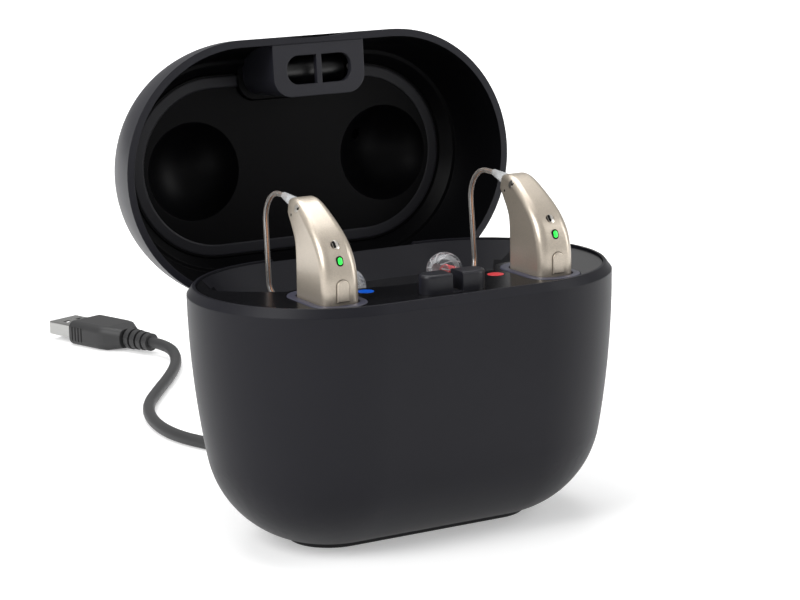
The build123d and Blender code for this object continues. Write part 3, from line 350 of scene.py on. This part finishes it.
def make_finishes():
    """Makes every finish once, by name."""
    tints = bpy.context.scene.charger_colours
    case, inside, deck = tuple(tints.case), tuple(tints.inside), tuple(tints.deck)
    lead, lacquer = tuple(tints.lead), tuple(tints.lacquer)
    return {
        "case": moulded("case_satin", case, 0.42, Specular_IOR_Level=0.16),
        # The lid's outside is the case plastic made lighter: painted light.
        "lid_outside": moulded("lid_outside_satin_painted_light", shade(case, 1.5), 0.4, Specular_IOR_Level=0.3),
        # The lid's rim band is the case plastic made lighter: a painted highlight.
        "rim": moulded("lid_rim_painted_highlight", shade(case, 1.3), 0.36, Specular_IOR_Level=0.22),
        # The ring inside the lid is the case plastic made lighter: a painted highlight.
        "ring": moulded("lid_ring_painted_highlight", shade(case, 1.2), 0.4, edge=0.0006, Specular_IOR_Level=0.3),
        # Inside the lid: black plastic made darker still, as painted shade.
        "lid_inside": moulded("lid_inside_black_and_shade", inside, 0.42, Specular_IOR_Level=0.08),
        # The trough's back wall is the case plastic made darker: painted shade.
        "trough": moulded("trough_wall_painted_shade", shade(case, 0.9), 0.42, Specular_IOR_Level=0.2),
        "deck": moulded("deck_gloss", deck, 0.22, grain=0.04, edge=0.0002, Specular_IOR_Level=0.2),
        # The liner takes the same black, made darker still as painted shade.
        "liner": moulded("liner_black_and_shade", inside, 0.42, Specular_IOR_Level=0.08),
        "latch": moulded("latch_satin", shade(case, 1.5), 0.4, edge=0.0004, Specular_IOR_Level=0.3),
        # The deck key is the case plastic made lighter: painted light.
        "key": moulded("key_painted_light", shade(case, 1.2), 0.38, edge=0.0004, Specular_IOR_Level=0.3),
        "collar": moulded("collar_satin", tuple(tints.collar), 0.36, Specular_IOR_Level=0.5),
        "capsule": moulded("capsule_gloss", inside, 0.3, grain=0.02, Specular_IOR_Level=0.5),
        "blue": moulded("marker_blue_gloss", tuple(tints.blue), 0.25, grain=0.04),
        "red": moulded("marker_red_gloss", tuple(tints.red), 0.25, grain=0.04),
        "lacquer": lacquered("aid_lacquer_satin", lacquer),
        # Near-black pads for the aids' grooves, slits and holes: painted shade in their hollows.
        "recess_shade": moulded("aid_recess_painted_shade", (0.004, 0.004, 0.004), 0.6, Specular_IOR_Level=0.1),
        "light": lit_lens("aid_light_lens", (0.03, 0.9, 0.08)),
        "clear": clear("clear_plastic_gloss", (0.7, 0.71, 0.72), 0.34),
        "wire": clear("clear_wire_gloss", (0.5, 0.48, 0.45), 0.1),
        "silicone": clear("dome_silicone_gloss", (0.55, 0.56, 0.58), 0.03, 0.05),
        "bevel": metal("port_bevel_bright", (0.8, 0.76, 0.7), 0.3),
        "rib": clear("dome_rib_gloss", (0.95, 0.95, 0.97), 0.3, 0.05),
        "copper": metal("wire_copper", (0.62, 0.3, 0.16), 0.3),
        "tinned": metal("wire_tinned", (0.5, 0.5, 0.5), 0.3),
        "lead": moulded("lead_sheath_matt", lead, 0.5, grain=0.2, Specular_IOR_Level=0.35),
        "grip": moulded("plug_grip_matt", shade(lead, 0.8), 0.48, grain=0.25, Specular_IOR_Level=0.4),
        "nickel": metal("plug_nickel", (0.42, 0.42, 0.41), 0.3, (1.0, 1.0, 12.0)),
        "steel": metal("bare_steel", (0.55, 0.55, 0.56), 0.35),
        "zinc": metal("zinc_plate", (0.6, 0.61, 0.64), 0.4),
        "gold": metal("gold_plate", (0.85, 0.62, 0.25), 0.25),
        "insert": moulded("plug_insert_white", (0.75, 0.75, 0.74), 0.45),
        "rubber": moulded("foot_rubber_matt", (0.02, 0.02, 0.022), 0.75, grain=0.4),
        "film": moulded("cable_film_amber", (0.4, 0.17, 0.03), 0.3),
        "board": board("board_green_mask", (0.015, 0.12, 0.045)),
    }


def dress(piece, finish, body, *nodes):
    """Gives a piece its finish, its body and the CAD nodes it stands for."""
    if piece.data.materials:
        piece.data.materials[0] = FINISHES[finish]
    else:
        piece.data.materials.append(FINISHES[finish])
    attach(piece, body)
    if nodes:
        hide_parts(*nodes)
    return piece


def add_object(name, data):
    piece = bpy.data.objects.new(name, data)
    bpy.context.scene.collection.objects.link(piece)
    return piece


def follow_recipe(name, web, sizes):
    """Runs a recipe with these sizes and gives its plain mesh."""
    holder = add_object(f"{name}_recipe", bpy.data.meshes.new(f"{name}_recipe"))
    step = holder.modifiers.new("recipe", "NODES")
    step.node_group = web.tree
    for item in web.tree.interface.items_tree:
        if item.in_out == "INPUT":
            step[item.identifier] = sizes[item.name]
    mesh = bpy.data.meshes.new_from_object(holder.evaluated_get(bpy.context.evaluated_depsgraph_get()))
    holder.modifiers.clear()
    bpy.data.objects.remove(holder)
    mesh.name = name
    mesh.shade_smooth()
    mesh.set_sharp_from_angle(angle=radians(SHARP))
    return mesh


def ring_recipe():
    """A sloped band swept round a stadium: the lit ring inside the lid."""
    web, size = new_recipe("lid_ring", {
        "Straight": "NodeSocketFloat", "Radius": "NodeSocketFloat", "Slope": "NodeSocketFloat",
        "Flat": "NodeSocketFloat", "Depth": "NodeSocketFloat"})
    path = web.node("GeometryNodeCurvePrimitiveQuadrilateral", {"mode": "RECTANGLE"}, {
        "Width": (size("Straight") + size("Radius")) * 2.0, "Height": size("Radius") * 2.0})
    round_path = web.node("GeometryNodeFilletCurve", {"mode": "POLY"}, {
        "Curve": path, "Radius": size("Radius") * RING_ROUND, "Count": RING_STEPS, "Limit Radius": True})
    crown = size("Slope") + size("Flat")
    corners = {
        "Point 1": (0.0, 0.0, 0.0), "Point 2": web.vector(size("Slope"), size("Depth")),
        "Point 3": web.vector(crown, size("Depth")), "Point 4": web.vector(crown, 0.0)}
    profile = web.node("GeometryNodeCurvePrimitiveQuadrilateral", {"mode": "POINTS"}, corners)
    band = web.node("GeometryNodeCurveToMesh", inputs={"Curve": round_path, "Profile Curve": profile})
    end_recipe(web, band, "ring")
    return web


def rib_recipe():
    """Clear ribs from a dome's skirt to its nozzle, all the way round."""
    web, size = new_recipe("dome_ribs", {
        "Radius": "NodeSocketFloat", "Ribs": "NodeSocketInt", "Thickness": "NodeSocketFloat"})
    arc = web.node("GeometryNodeCurveArc", {"mode": "RADIUS"}, {
        "Resolution": RIB_STEPS, "Radius": size("Radius"), "Start Angle": radians(RIB_START),
        "Sweep Angle": radians(RIB_SWEEP)})
    upright = web.node("GeometryNodeTransform", inputs={"Geometry": arc, "Rotation": (pi / 2, 0.0, 0.0)})
    section = web.node("GeometryNodeCurvePrimitiveCircle", {"mode": "RADIUS"}, {
        "Resolution": RIB_SIDES, "Radius": size("Thickness")})
    rib = web.node("GeometryNodeCurveToMesh", inputs={
        "Curve": upright, "Profile Curve": section, "Fill Caps": True})
    spots = web.node("GeometryNodePoints", inputs={"Count": size("Ribs")})
    turn = web.node("GeometryNodeInputIndex") * (2 * pi) / size("Ribs")
    heading = web.node("ShaderNodeCombineXYZ", inputs={"Z": turn})
    ribs = web.node("GeometryNodeInstanceOnPoints", inputs={
        "Points": spots, "Instance": rib, "Rotation": heading})
    end_recipe(web, ribs, "rib")
    return web


def fine_copy(node, name, finish, sharp=SHARP):
    """A joined, smooth copy of a CAD node that stands for it."""
    mesh = NODES[node].data.copy()
    mesh.name = name
    mesh.materials.clear()
    if "custom_normal" in mesh.attributes:
        mesh.attributes.remove(mesh.attributes["custom_normal"])
    work = bmesh.new()
    work.from_mesh(mesh)
    bmesh.ops.remove_doubles(work, verts=work.verts, dist=JOIN)
    work.to_mesh(mesh)
    work.free()
    mesh.shade_smooth()
    mesh.set_sharp_from_angle(angle=radians(sharp))
    piece = add_object(name, mesh)
    even = piece.modifiers.new("even_shading", "WEIGHTED_NORMAL")
    even.keep_sharp = True
    return dress(piece, finish, NODES[node]["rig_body"], node)


def keep_node(node, finish):
    """Leaves a CAD node in view with a finish of its own."""
    mesh = NODES[node].data
    if mesh.materials:
        for index in range(len(mesh.materials)):
            mesh.materials[index] = FINISHES[finish]
    else:
        mesh.materials.append(FINISHES[finish])


def when_closed(point):
    """Where a point of the open lid lies with the lid closed, in millimetres."""
    turn = radians(OPEN_ANGLE)
    y, z = point.y / MM - HINGE[1], point.z / MM - HINGE[2]
    return Vector((
        point.x / MM, y * cos(turn) - z * sin(turn) + HINGE[1], y * sin(turn) + z * cos(turn) + HINGE[2]))


def when_open(point):
    """Where a point of the closed lid lies with the lid open; millimetres in, metres out."""
    turn = radians(OPEN_ANGLE)
    y, z = point[1] - HINGE[1], point[2] - HINGE[2]
    return metres((
        point[0], y * cos(turn) + z * sin(turn) + HINGE[1], z * cos(turn) - y * sin(turn) + HINGE[2]))


def lid_region(face):
    """Which finish a face of the lid takes: outside, rim or inside."""
    place = when_closed(face.center)
    heading = when_closed(face.center + face.normal * MM) - place
    off = Vector((place.x - max(-STRAIGHT, min(STRAIGHT, place.x)), place.y, 0))
    if heading.z < RIM_DOWN and place.z < RIM_LEVEL:
        return 1
    if heading.dot(off.normalized()) > WALL_OUT or heading.z > CROWN_UP:
        return 0
    return 2


def metres(point):
    return Vector(point) * MM


def coil_points():
    """Control points of the wound coil: half turns that draw in below and widen again above."""
    turns = [(COIL_RADIUS - COIL_DRAW_IN * k, COIL_LOW) for k in range(COIL_HALF_TURNS + 1)]
    turns += [(radius, COIL_HIGH) for radius, _ in reversed(turns[1:])]
    turns.append((COIL_EXIT_RADIUS, COIL_HIGH))
    x, y = COIL_MIDDLE
    stops = [Vector((x + (r if k % 2 else -r), y, z)) for k, (r, z) in enumerate(turns)]
    points = [stops[0]]
    for k, (a, b) in enumerate(zip(stops, stops[1:])):
        middle, reach = (a + b) / 2, (b - a).length / 2 * COIL_SWELL
        side, heading = (a - b).normalized(), Vector((0, 1 if k % 2 == 0 else -1, 0))
        for step in range(1, COIL_STEPS + 1):
            turn = pi * step / COIL_STEPS
            point = middle + side * (reach * cos(turn)) + heading * (reach * sin(turn))
            point.z = a.z + (b.z - a.z) * step / COIL_STEPS
            points.append(point)
    reach = COIL_EXIT_RADIUS * COIL_SWELL
    for step in range(1, COIL_EXIT_STEPS):
        turn = pi / 2 * step / COIL_EXIT_STEPS
        points.append(Vector((x + reach * cos(turn), y - reach * sin(turn), COIL_HIGH)))
    points.append(Vector((x + COIL_END[0], y - COIL_EXIT_RADIUS - COIL_END[1], COIL_HIGH)))
    return points


def spline_piece(name, points, radius):
    """A round cord on one smooth spline through its control points."""
    curve = bpy.data.curves.new(name, "CURVE")
    curve.dimensions = "3D"
    spline = curve.splines.new("NURBS")
    spline.points.add(len(points) - 1)
    for knot, point in zip(spline.points, points):
        knot.co = (*metres(point), 1.0)
    spline.order_u = LEAD_ORDER
    spline.use_endpoint_u = True
    curve.resolution_u = LEAD_RINGS
    curve.bevel_depth = radius * MM
    curve.bevel_resolution = LEAD_SIDES
    curve.use_fill_caps = True
    return add_object(name, curve)


# Marks on the front of each hearing aid: name, place, lean, size, height, finish, CAD node it stands for
# The near-black light rim and port slit are painted shade for a groove and a slit.
FRONT_MARKS = (
    ("light_rim", (0.0, -23.98, 73.95), 16.0, (1.8, 2.5), 0.3, "recess_shade", None),
    ("lens", (0.0, -24.1, 73.98), 16.0, (1.15, 1.75), 0.3, "light", "aid_light"),
    ("port_bevel", (0.1, -21.72, 77.4), 42.0, (1.6, 2.5), 0.34, "bevel", "microphone_cover"),
    ("port_slit", (-0.3, -21.86, 77.62), 42.0, (0.6, 1.9), 0.34, "recess_shade", None),
)
# Marks on its left-hand face: name, place in Y and Z, size, height, finish
# The near-black side port and side hole are painted shade for holes.
SIDE_MARKS = (
    ("side_patch", (-9.3, 84.6), (1.7, 2.0), 0.16, "bevel"),
    ("side_port", (-9.9, 84.7), (0.7, 0.9), 0.24, "recess_shade"),
    ("side_hole", (-6.1, 82.6), (0.6, 0.7), 0.16, "recess_shade"),
)
# A mark's rings: share of its half height, and share of its size
PAD_RINGS = ((-1.0, 1.0), (0.0, 1.0), (0.7, 0.96), (1.0, 0.8))
PAD_STEPS = 20
# How far outside a hearing aid's middle the search for its side face starts
SIDE_START = 20.0


def pad_mesh(name, size, high):
    """A small domed pad with rounded ends, its middle on the XY plane."""
    wide, long = (side * MM / 2 for side in size)
    straight = max(0.0, long - wide)
    work = bmesh.new()
    rings = []
    for level, share in PAD_RINGS:
        ring = []
        for step in range(PAD_STEPS):
            turn = 2 * pi * step / PAD_STEPS
            y = wide * sin(turn) * share + (straight if sin(turn) >= 0 else -straight)
            ring.append(work.verts.new((wide * cos(turn) * share, y, level * high * MM / 2)))
        rings.append(ring)
    for low, top in zip(rings, rings[1:]):
        for step in range(PAD_STEPS):
            near = (step + 1) % PAD_STEPS
            work.faces.new((low[step], low[near], top[near], top[step]))
    work.faces.new(rings[-1])
    work.faces.new(rings[0][::-1])
    bmesh.ops.recalc_face_normals(work, faces=work.faces)
    mesh = bpy.data.meshes.new(name)
    work.to_mesh(mesh)
    work.free()
    mesh.shade_smooth()
    mesh.set_sharp_from_angle(angle=radians(SHARP))
    return add_object(name, mesh)


def side_spot(mesh, x, y, z):
    """Where a line towards +X first meets a mesh, with local Z along the face's normal."""
    tree = BVHTree.FromPolygons(
        [corner.co for corner in mesh.vertices], [tuple(face.vertices) for face in mesh.polygons])
    place, normal = tree.ray_cast(metres((x - SIDE_START, y, z)), Vector((1, 0, 0)))[:2]
    if place is None:
        raise RuntimeError(f"no face at {y}, {z}")
    return Matrix.Translation(place) @ normal.to_track_quat("Z", "Y").to_matrix().to_4x4()


def line_piece(name, points, radius):
    """A thin round core through close points."""
    curve = bpy.data.curves.new(name, "CURVE")
    curve.dimensions = "3D"
    spline = curve.splines.new("POLY")
    spline.points.add(len(points) - 1)
    for knot, point in zip(spline.points, points):
        knot.co = (*metres(point), 1.0)
    curve.bevel_depth, curve.bevel_resolution = radius * MM, CORE_SIDES
    curve.use_fill_caps = True
    return add_object(name, curve)


def wire_route(side):
    """Points along an ear wire: straight runs joined by round bends."""
    facts = SIDES[side]
    x = facts["way"] * AID_X
    corners = [
        Vector((x, *WIRE_START)), Vector((x, facts["top"], WIRE_START[1])),
        Vector((x, facts["foot"], WIRE_FLOOR)), Vector(facts["bend"]), Vector(facts["ear"])]
    points = [corners[0]]
    for a, b, c, radius in zip(corners, corners[1:], corners[2:], WIRE_RADII):
        back, ahead = (a - b).normalized(), (c - b).normalized()
        half = back.angle(ahead) / 2
        middle = b + (back + ahead).normalized() * (radius / sin(half))
        near = b + back * (radius / tan(half)) - middle
        far = b + ahead * (radius / tan(half)) - middle
        points += [middle + near.slerp(far, step / BEND_STEPS) * radius for step in range(BEND_STEPS + 1)]
    return points + [corners[-1]]


class CHARGER_PG_colours(bpy.types.PropertyGroup):
    """Colours of the charger's surfaces."""

    case: FloatVectorProperty(
        name="Case", description="Satin plastic outside", subtype="COLOR", default=(0.0095, 0.0095, 0.0128))
    # Black plastic inside the lid, darker than the case: partly its own colour, partly painted shade.
    inside: FloatVectorProperty(
        name="Lid inside", description="Black plastic inside the lid", subtype="COLOR",
        default=(0.002, 0.002, 0.0025))
    deck: FloatVectorProperty(
        name="Deck", description="Gloss plastic round the docks", subtype="COLOR",
        default=(0.006, 0.006, 0.007))
    collar: FloatVectorProperty(
        name="Collars", description="Rings round the docks", subtype="COLOR", default=(0.05, 0.05, 0.075))
    lacquer: FloatVectorProperty(
        name="Hearing aids", description="Metallic lacquer", subtype="COLOR", default=(0.5, 0.44, 0.365))
    lead: FloatVectorProperty(
        name="Lead", description="Sheath and plug grip", subtype="COLOR", default=(0.034, 0.034, 0.035))
    blue: FloatVectorProperty(
        name="Left marker", description="Disc of the left dock", subtype="COLOR",
        default=(0.005, 0.12, 0.75))
    red: FloatVectorProperty(
        name="Right marker", description="Disc of the right dock", subtype="COLOR",
        default=(0.68, 0.05, 0.06))


class CHARGER_PG_sizes(bpy.types.PropertyGroup):
    """Sizes of the fine pieces."""

    lead: FloatProperty(
        name="Lead", description="Diameter of the lead", subtype="DISTANCE", default=0.0036, min=0.001)
    dome: FloatProperty(
        name="Dome", description="Diameter of the ear domes", subtype="DISTANCE", default=0.0092, min=0.004)
    ribs: IntProperty(name="Dome ribs", description="Ribs round each dome", default=10, min=3)


class CHARGER_OT_lead(bpy.types.Operator):
    """Lays the lead on its one smooth line, with the coil behind the case"""

    bl_idname = "charger.lead"
    bl_label = "Lead"

    def execute(self, context):
        sizes = context.scene.charger_sizes
        lead = spline_piece("lead", TAIL + coil_points() + FREE_RUN, sizes.lead / 2 / MM)
        dress(lead, "lead", "root", "usb_lead_tail", "usb_lead_coil", "usb_lead_free")
        carried = [
            fine_copy("lead_tie", "coil_tie", "rubber"),
            fine_copy("case_plug_grip", "small_plug_grip", "grip"),
            fine_copy("case_plug_shell", "small_plug_shell", "nickel"),
            fine_copy("usb_plug_boot", "plug_boot", "grip"),
            fine_copy("usb_plug_grip", "plug_grip", "grip"),
            fine_copy("usb_plug_shell", "plug_shell", "nickel"),
            fine_copy("usb_plug_insert", "plug_insert", "insert"),
        ]
        return {"FINISHED"}


class CHARGER_OT_case(bpy.types.Operator):
    """Dresses the base, the deck, its key, the dock collars and the markers"""

    bl_idname = "charger.case"
    bl_label = "Case"

    def execute(self, context):
        fine_copy("base_shell", "case_base", "case")
        deck = fine_copy("top_deck", "case_deck", "deck")
        # Faces of the trough's back wall take a darker copy of the case plastic: painted shade.
        deck.data.materials.append(FINISHES["trough"])
        for face in deck.data.polygons:
            leans = face.normal.y < WALL_FORWARD and face.normal.z > WALL_UP
            face.material_index = int(leans and face.center.y > TROUGH_BACK * MM)
        # The key's lighter finish is painted light.
        fine_copy("lid_key", "deck_key", "key")
        for side, colour in (("left", "blue"), ("right", "red")):
            fine_copy(f"{side}_dock_collar", f"{side}_collar", "collar")
            fine_copy(f"{side}_marker", f"{side}_disc", colour)
        return {"FINISHED"}


class CHARGER_OT_lid(bpy.types.Operator):
    """Dresses the lid, its liner, the latch plate and the capsule behind it"""

    bl_idname = "charger.lid"
    bl_label = "Lid"

    def execute(self, context):
        # The lid's outside takes a lighter copy of the case plastic: painted light.
        outer = fine_copy("lid_shell", "lid_outer", "lid_outside")
        # The rim's lighter finish is a painted highlight.
        for finish in ("rim", "lid_inside"):
            outer.data.materials.append(FINISHES[finish])
        for face in outer.data.polygons:
            face.material_index = lid_region(face)
        fine_copy("lid_liner", "lid_floor", "liner")
        fine_copy("latch_plate", "latch_cover", "latch")
        fine_copy("drying_capsule", "capsule", "capsule")
        band = follow_recipe("lid_ring", ring_recipe(), {
            "Straight": STRAIGHT * MM, "Radius": RING_RADIUS * MM, "Slope": RING_SLOPE * MM,
            "Flat": RING_FLAT * MM, "Depth": RING_DEEP * MM})
        for corner in band.vertices:
            corner.co = when_open((corner.co.x / MM, corner.co.y / MM, RING_HIGH - corner.co.z / MM))
        band.flip_normals()
        # The ring's lighter finish is a painted highlight.
        ring = dress(add_object("lid_ring", band), "ring", NODES["lid_liner"]["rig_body"])
        return {"FINISHED"}


class CHARGER_OT_aids(bpy.types.Operator):
    """Dresses both hearing aids with their buttons, lights and microphone covers"""

    bl_idname = "charger.aids"
    bl_label = "Hearing aids"

    def execute(self, context):
        for side in SIDES:
            shell = fine_copy(f"{side}_aid_shell", f"{side}_aid_body", "lacquer", AID_SHARP)
            fine_copy(f"{side}_aid_button", f"{side}_rocker", "lacquer")
            body = f"{side}_aid"
            x = SIDES[side]["way"] * AID_X
            for name, place, lean, size, high, finish, node in FRONT_MARKS:
                mark = pad_mesh(f"{side}_{name}", size, high)
                spot = Matrix.Translation(metres((x + place[0], *place[1:])))
                mark.data.transform(spot @ Matrix.Rotation(radians(90 - lean), 4, "X"))
                dress(mark, finish, body, *([f"{side}_{node}"] if node else []))
            for name, (y, z), size, high, finish in SIDE_MARKS:
                mark = pad_mesh(f"{side}_{name}", size, high)
                mark.data.transform(side_spot(shell.data, x, y, z))
                dress(mark, finish, body)
        return {"FINISHED"}


class CHARGER_OT_earpieces(bpy.types.Operator):
    """Makes the clear wires with their conductors, the receivers and the domes"""

    bl_idname = "charger.earpieces"
    bl_label = "Earpieces"

    def execute(self, context):
        sizes, recipe = context.scene.charger_sizes, rib_recipe()
        for side, colour in (("left", "blue"), ("right", "red")):
            fine_copy(f"{side}_wire_plug", f"{side}_cone", "clear")
            fine_copy(f"{side}_ear_wire", f"{side}_clear_wire", "wire")
            for name, shift in (("copper", CORE_SHIFT), ("tinned", -CORE_SHIFT)):
                core = line_piece(f"{side}_{name}_core", [
                    point + Vector((shift, 0, 0)) for point in wire_route(side)], CORE_RADIUS)
                dress(core, name, f"{side}_aid")
            fine_copy(f"{side}_receiver", f"{side}_speaker", colour)
            fine_copy(f"{side}_ear_dome", f"{side}_dome", "silicone")
            rib = sizes.dome * RIB_SHARE
            mesh = follow_recipe(f"{side}_dome_ribs", recipe, {
                "Radius": sizes.dome / 2 - RIB_INSET * rib, "Ribs": sizes.ribs, "Thickness": rib})
            ear, bend = Vector(SIDES[side]["ear"]), Vector(SIDES[side]["bend"])
            way = (ear - bend).normalized()
            place = Matrix.Translation(metres(ear + way * RECEIVER_LONG))
            mesh.transform(place @ way.to_track_quat("Z", "Y").to_matrix().to_4x4())
            ribs = dress(add_object(f"{side}_dome_ribs", mesh), "rib", f"{side}_aid")
        return {"FINISHED"}


class CHARGER_OT_inside(bpy.types.Operator):
    """Gives the pieces inside the case and the hearing aids their finishes"""

    bl_idname = "charger.inside"
    bl_label = "Inside"

    def execute(self, context):
        groups = {
            "rubber": ["foot_pad"],
            "steel": ["base_weight", "hinge_rod"],
            "zinc": ["weight_screws", "jack_screws", "board_screws", "base_magnets", "lid_magnets"],
            "nickel": ["usb_jack"],
            "film": ["board_cable"],
            "board": ["jack_board", "contact_board"],
        }
        for side in SIDES:
            groups["nickel"].append(f"{side}_aid_cell")
            groups["board"].append(f"{side}_aid_circuit")
            groups.setdefault("gold", []).extend([f"{side}_charge_contacts", f"{side}_charge_pads"])
            groups.setdefault("deck", []).append(f"{side}_dock_cup")
        for finish, nodes in groups.items():
            for node in nodes:
                keep_node(node, finish)
        return {"FINISHED"}


def backdrop_finish():
    """White floor: seen as white, and still darkened where the object shades it."""
    material, web = new_finish("floor_white")
    path = web.node("ShaderNodeLightPath", out="Is Camera Ray")
    seen = path.maths("MAXIMUM", path, path.also("Is Glossy Ray"))
    seen = seen.maths("MAXIMUM", seen, path.also("Is Transmission Ray"))
    fine = web.noise(9.0)
    paint = web.node("ShaderNodeBsdfDiffuse", inputs={"Color": web.blend(fine, FLOOR_LOW, FLOOR_HIGH)})
    away = web.node("ShaderNodeVectorMath", {"operation": "LENGTH"}, {0: web.place()}, out="Value")
    rise = away.maths("MAXIMUM", (away - FLOOR_NEAR) * FLOOR_RISE, 0.0)
    lift = away.maths("MINIMUM", rise, FLOOR_MOST)
    glow = web.node("ShaderNodeEmission", inputs={"Color": WHITE, "Strength": lift + FLOOR_GLOW})
    both = web.node("ShaderNodeAddShader", inputs={0: paint, 1: glow})
    mixed = web.node("ShaderNodeMixShader", inputs={0: seen, 1: paint, 2: both})
    web.node("ShaderNodeOutputMaterial", inputs={"Surface": mixed})
    return material


def softbox(name, place, size, power):
    """A soft rectangular lamp that looks at the charger."""
    lamp = bpy.data.lights.new(name, "AREA")
    lamp.shape, lamp.size, lamp.size_y, lamp.energy = "RECTANGLE", size[0], size[1], power
    stand = add_object(name, lamp)
    stand.location = place
    stand.rotation_euler = (Vector(LAMP_AIM) - Vector(place)).to_track_quat("-Z", "Y").to_euler()


class CHARGER_OT_stage(bpy.types.Operator):
    """Makes the floor, the lamps, the world and the camera"""

    bl_idname = "charger.stage"
    bl_label = "Stage"

    def execute(self, context):
        scene = context.scene
        scene.view_settings.view_transform = "Standard"
        mesh = bpy.data.meshes.new("floor")
        work = bmesh.new()
        bmesh.ops.create_grid(work, x_segments=FLOOR_CELLS, y_segments=FLOOR_CELLS, size=FLOOR_HALF)
        work.to_mesh(mesh)
        work.free()
        mesh.materials.append(backdrop_finish())
        add_object("floor", mesh)

        world = bpy.data.worlds.new("studio")
        world.use_nodes = True
        scene.world = world
        web = Web(world.node_tree)
        path = web.node("ShaderNodeLightPath", out="Is Camera Ray")
        seen = path.maths("MAXIMUM", path, path.also("Is Transmission Ray"))
        dim = web.node("ShaderNodeBackground", inputs={"Color": WHITE, "Strength": WORLD_LIGHT})
        white = web.node("ShaderNodeBackground", inputs={"Color": WHITE, "Strength": 1.0})
        mixed = web.node("ShaderNodeMixShader", inputs={0: seen, 1: dim, 2: white})
        web.node("ShaderNodeOutputWorld", inputs={"Surface": mixed})

        for lamp in LAMPS:
            softbox(*lamp)

        camera = bpy.data.cameras.new("camera")
        camera.lens, camera.sensor_width = CAMERA_LENS, CAMERA_SENSOR
        camera.clip_start, camera.clip_end = 0.01, 50.0
        stand = add_object("camera", camera)
        place, target = metres(CAMERA_PLACE), metres(CAMERA_TARGET)
        ahead = (target - place).normalized()
        right = ahead.cross(Vector((0, 0, 1))).normalized()
        up = right.cross(ahead)
        roll = radians(CAMERA_ROLL)
        across = right * cos(roll) + up * sin(roll)
        upward = up * cos(roll) - right * sin(roll)
        turned = Matrix((across, upward, -ahead)).transposed().to_4x4()
        stand.matrix_world = Matrix.Translation(place) @ turned
        scene.camera = stand
        return {"FINISHED"}


class CHARGER_PT_panel(bpy.types.Panel):
    """Lists the charger's pieces and their sizes and colours."""

    bl_label = "Hearing aid charger"
    bl_idname = "CHARGER_PT_panel"
    bl_space_type = "VIEW_3D"
    bl_region_type = "UI"
    bl_category = "Charger"

    def draw(self, context):
        for group in (context.scene.charger_colours, context.scene.charger_sizes):
            for key in group.__annotations__:
                self.layout.prop(group, key)
        for operator in STEPS:
            self.layout.operator(operator.bl_idname)


STEPS = (
    CHARGER_OT_stage, CHARGER_OT_lead, CHARGER_OT_case, CHARGER_OT_lid, CHARGER_OT_aids,
    CHARGER_OT_earpieces, CHARGER_OT_inside,
)
CLASSES = (CHARGER_PG_colours, CHARGER_PG_sizes, *STEPS, CHARGER_PT_panel)
FINISHES = {}


def register():
    for item in CLASSES:
        bpy.utils.register_class(item)
    bpy.types.Scene.charger_colours = PointerProperty(type=CHARGER_PG_colours)
    bpy.types.Scene.charger_sizes = PointerProperty(type=CHARGER_PG_sizes)


def unregister():
    del bpy.types.Scene.charger_sizes
    del bpy.types.Scene.charger_colours
    for item in reversed(CLASSES):
        bpy.utils.unregister_class(item)


def main():
    """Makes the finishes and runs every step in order."""
    register()
    FINISHES.update(make_finishes())
    for operator in STEPS:
        group, name = operator.bl_idname.split(".")
        getattr(getattr(bpy.ops, group), name)()


if __name__ == "__main__":
    main()
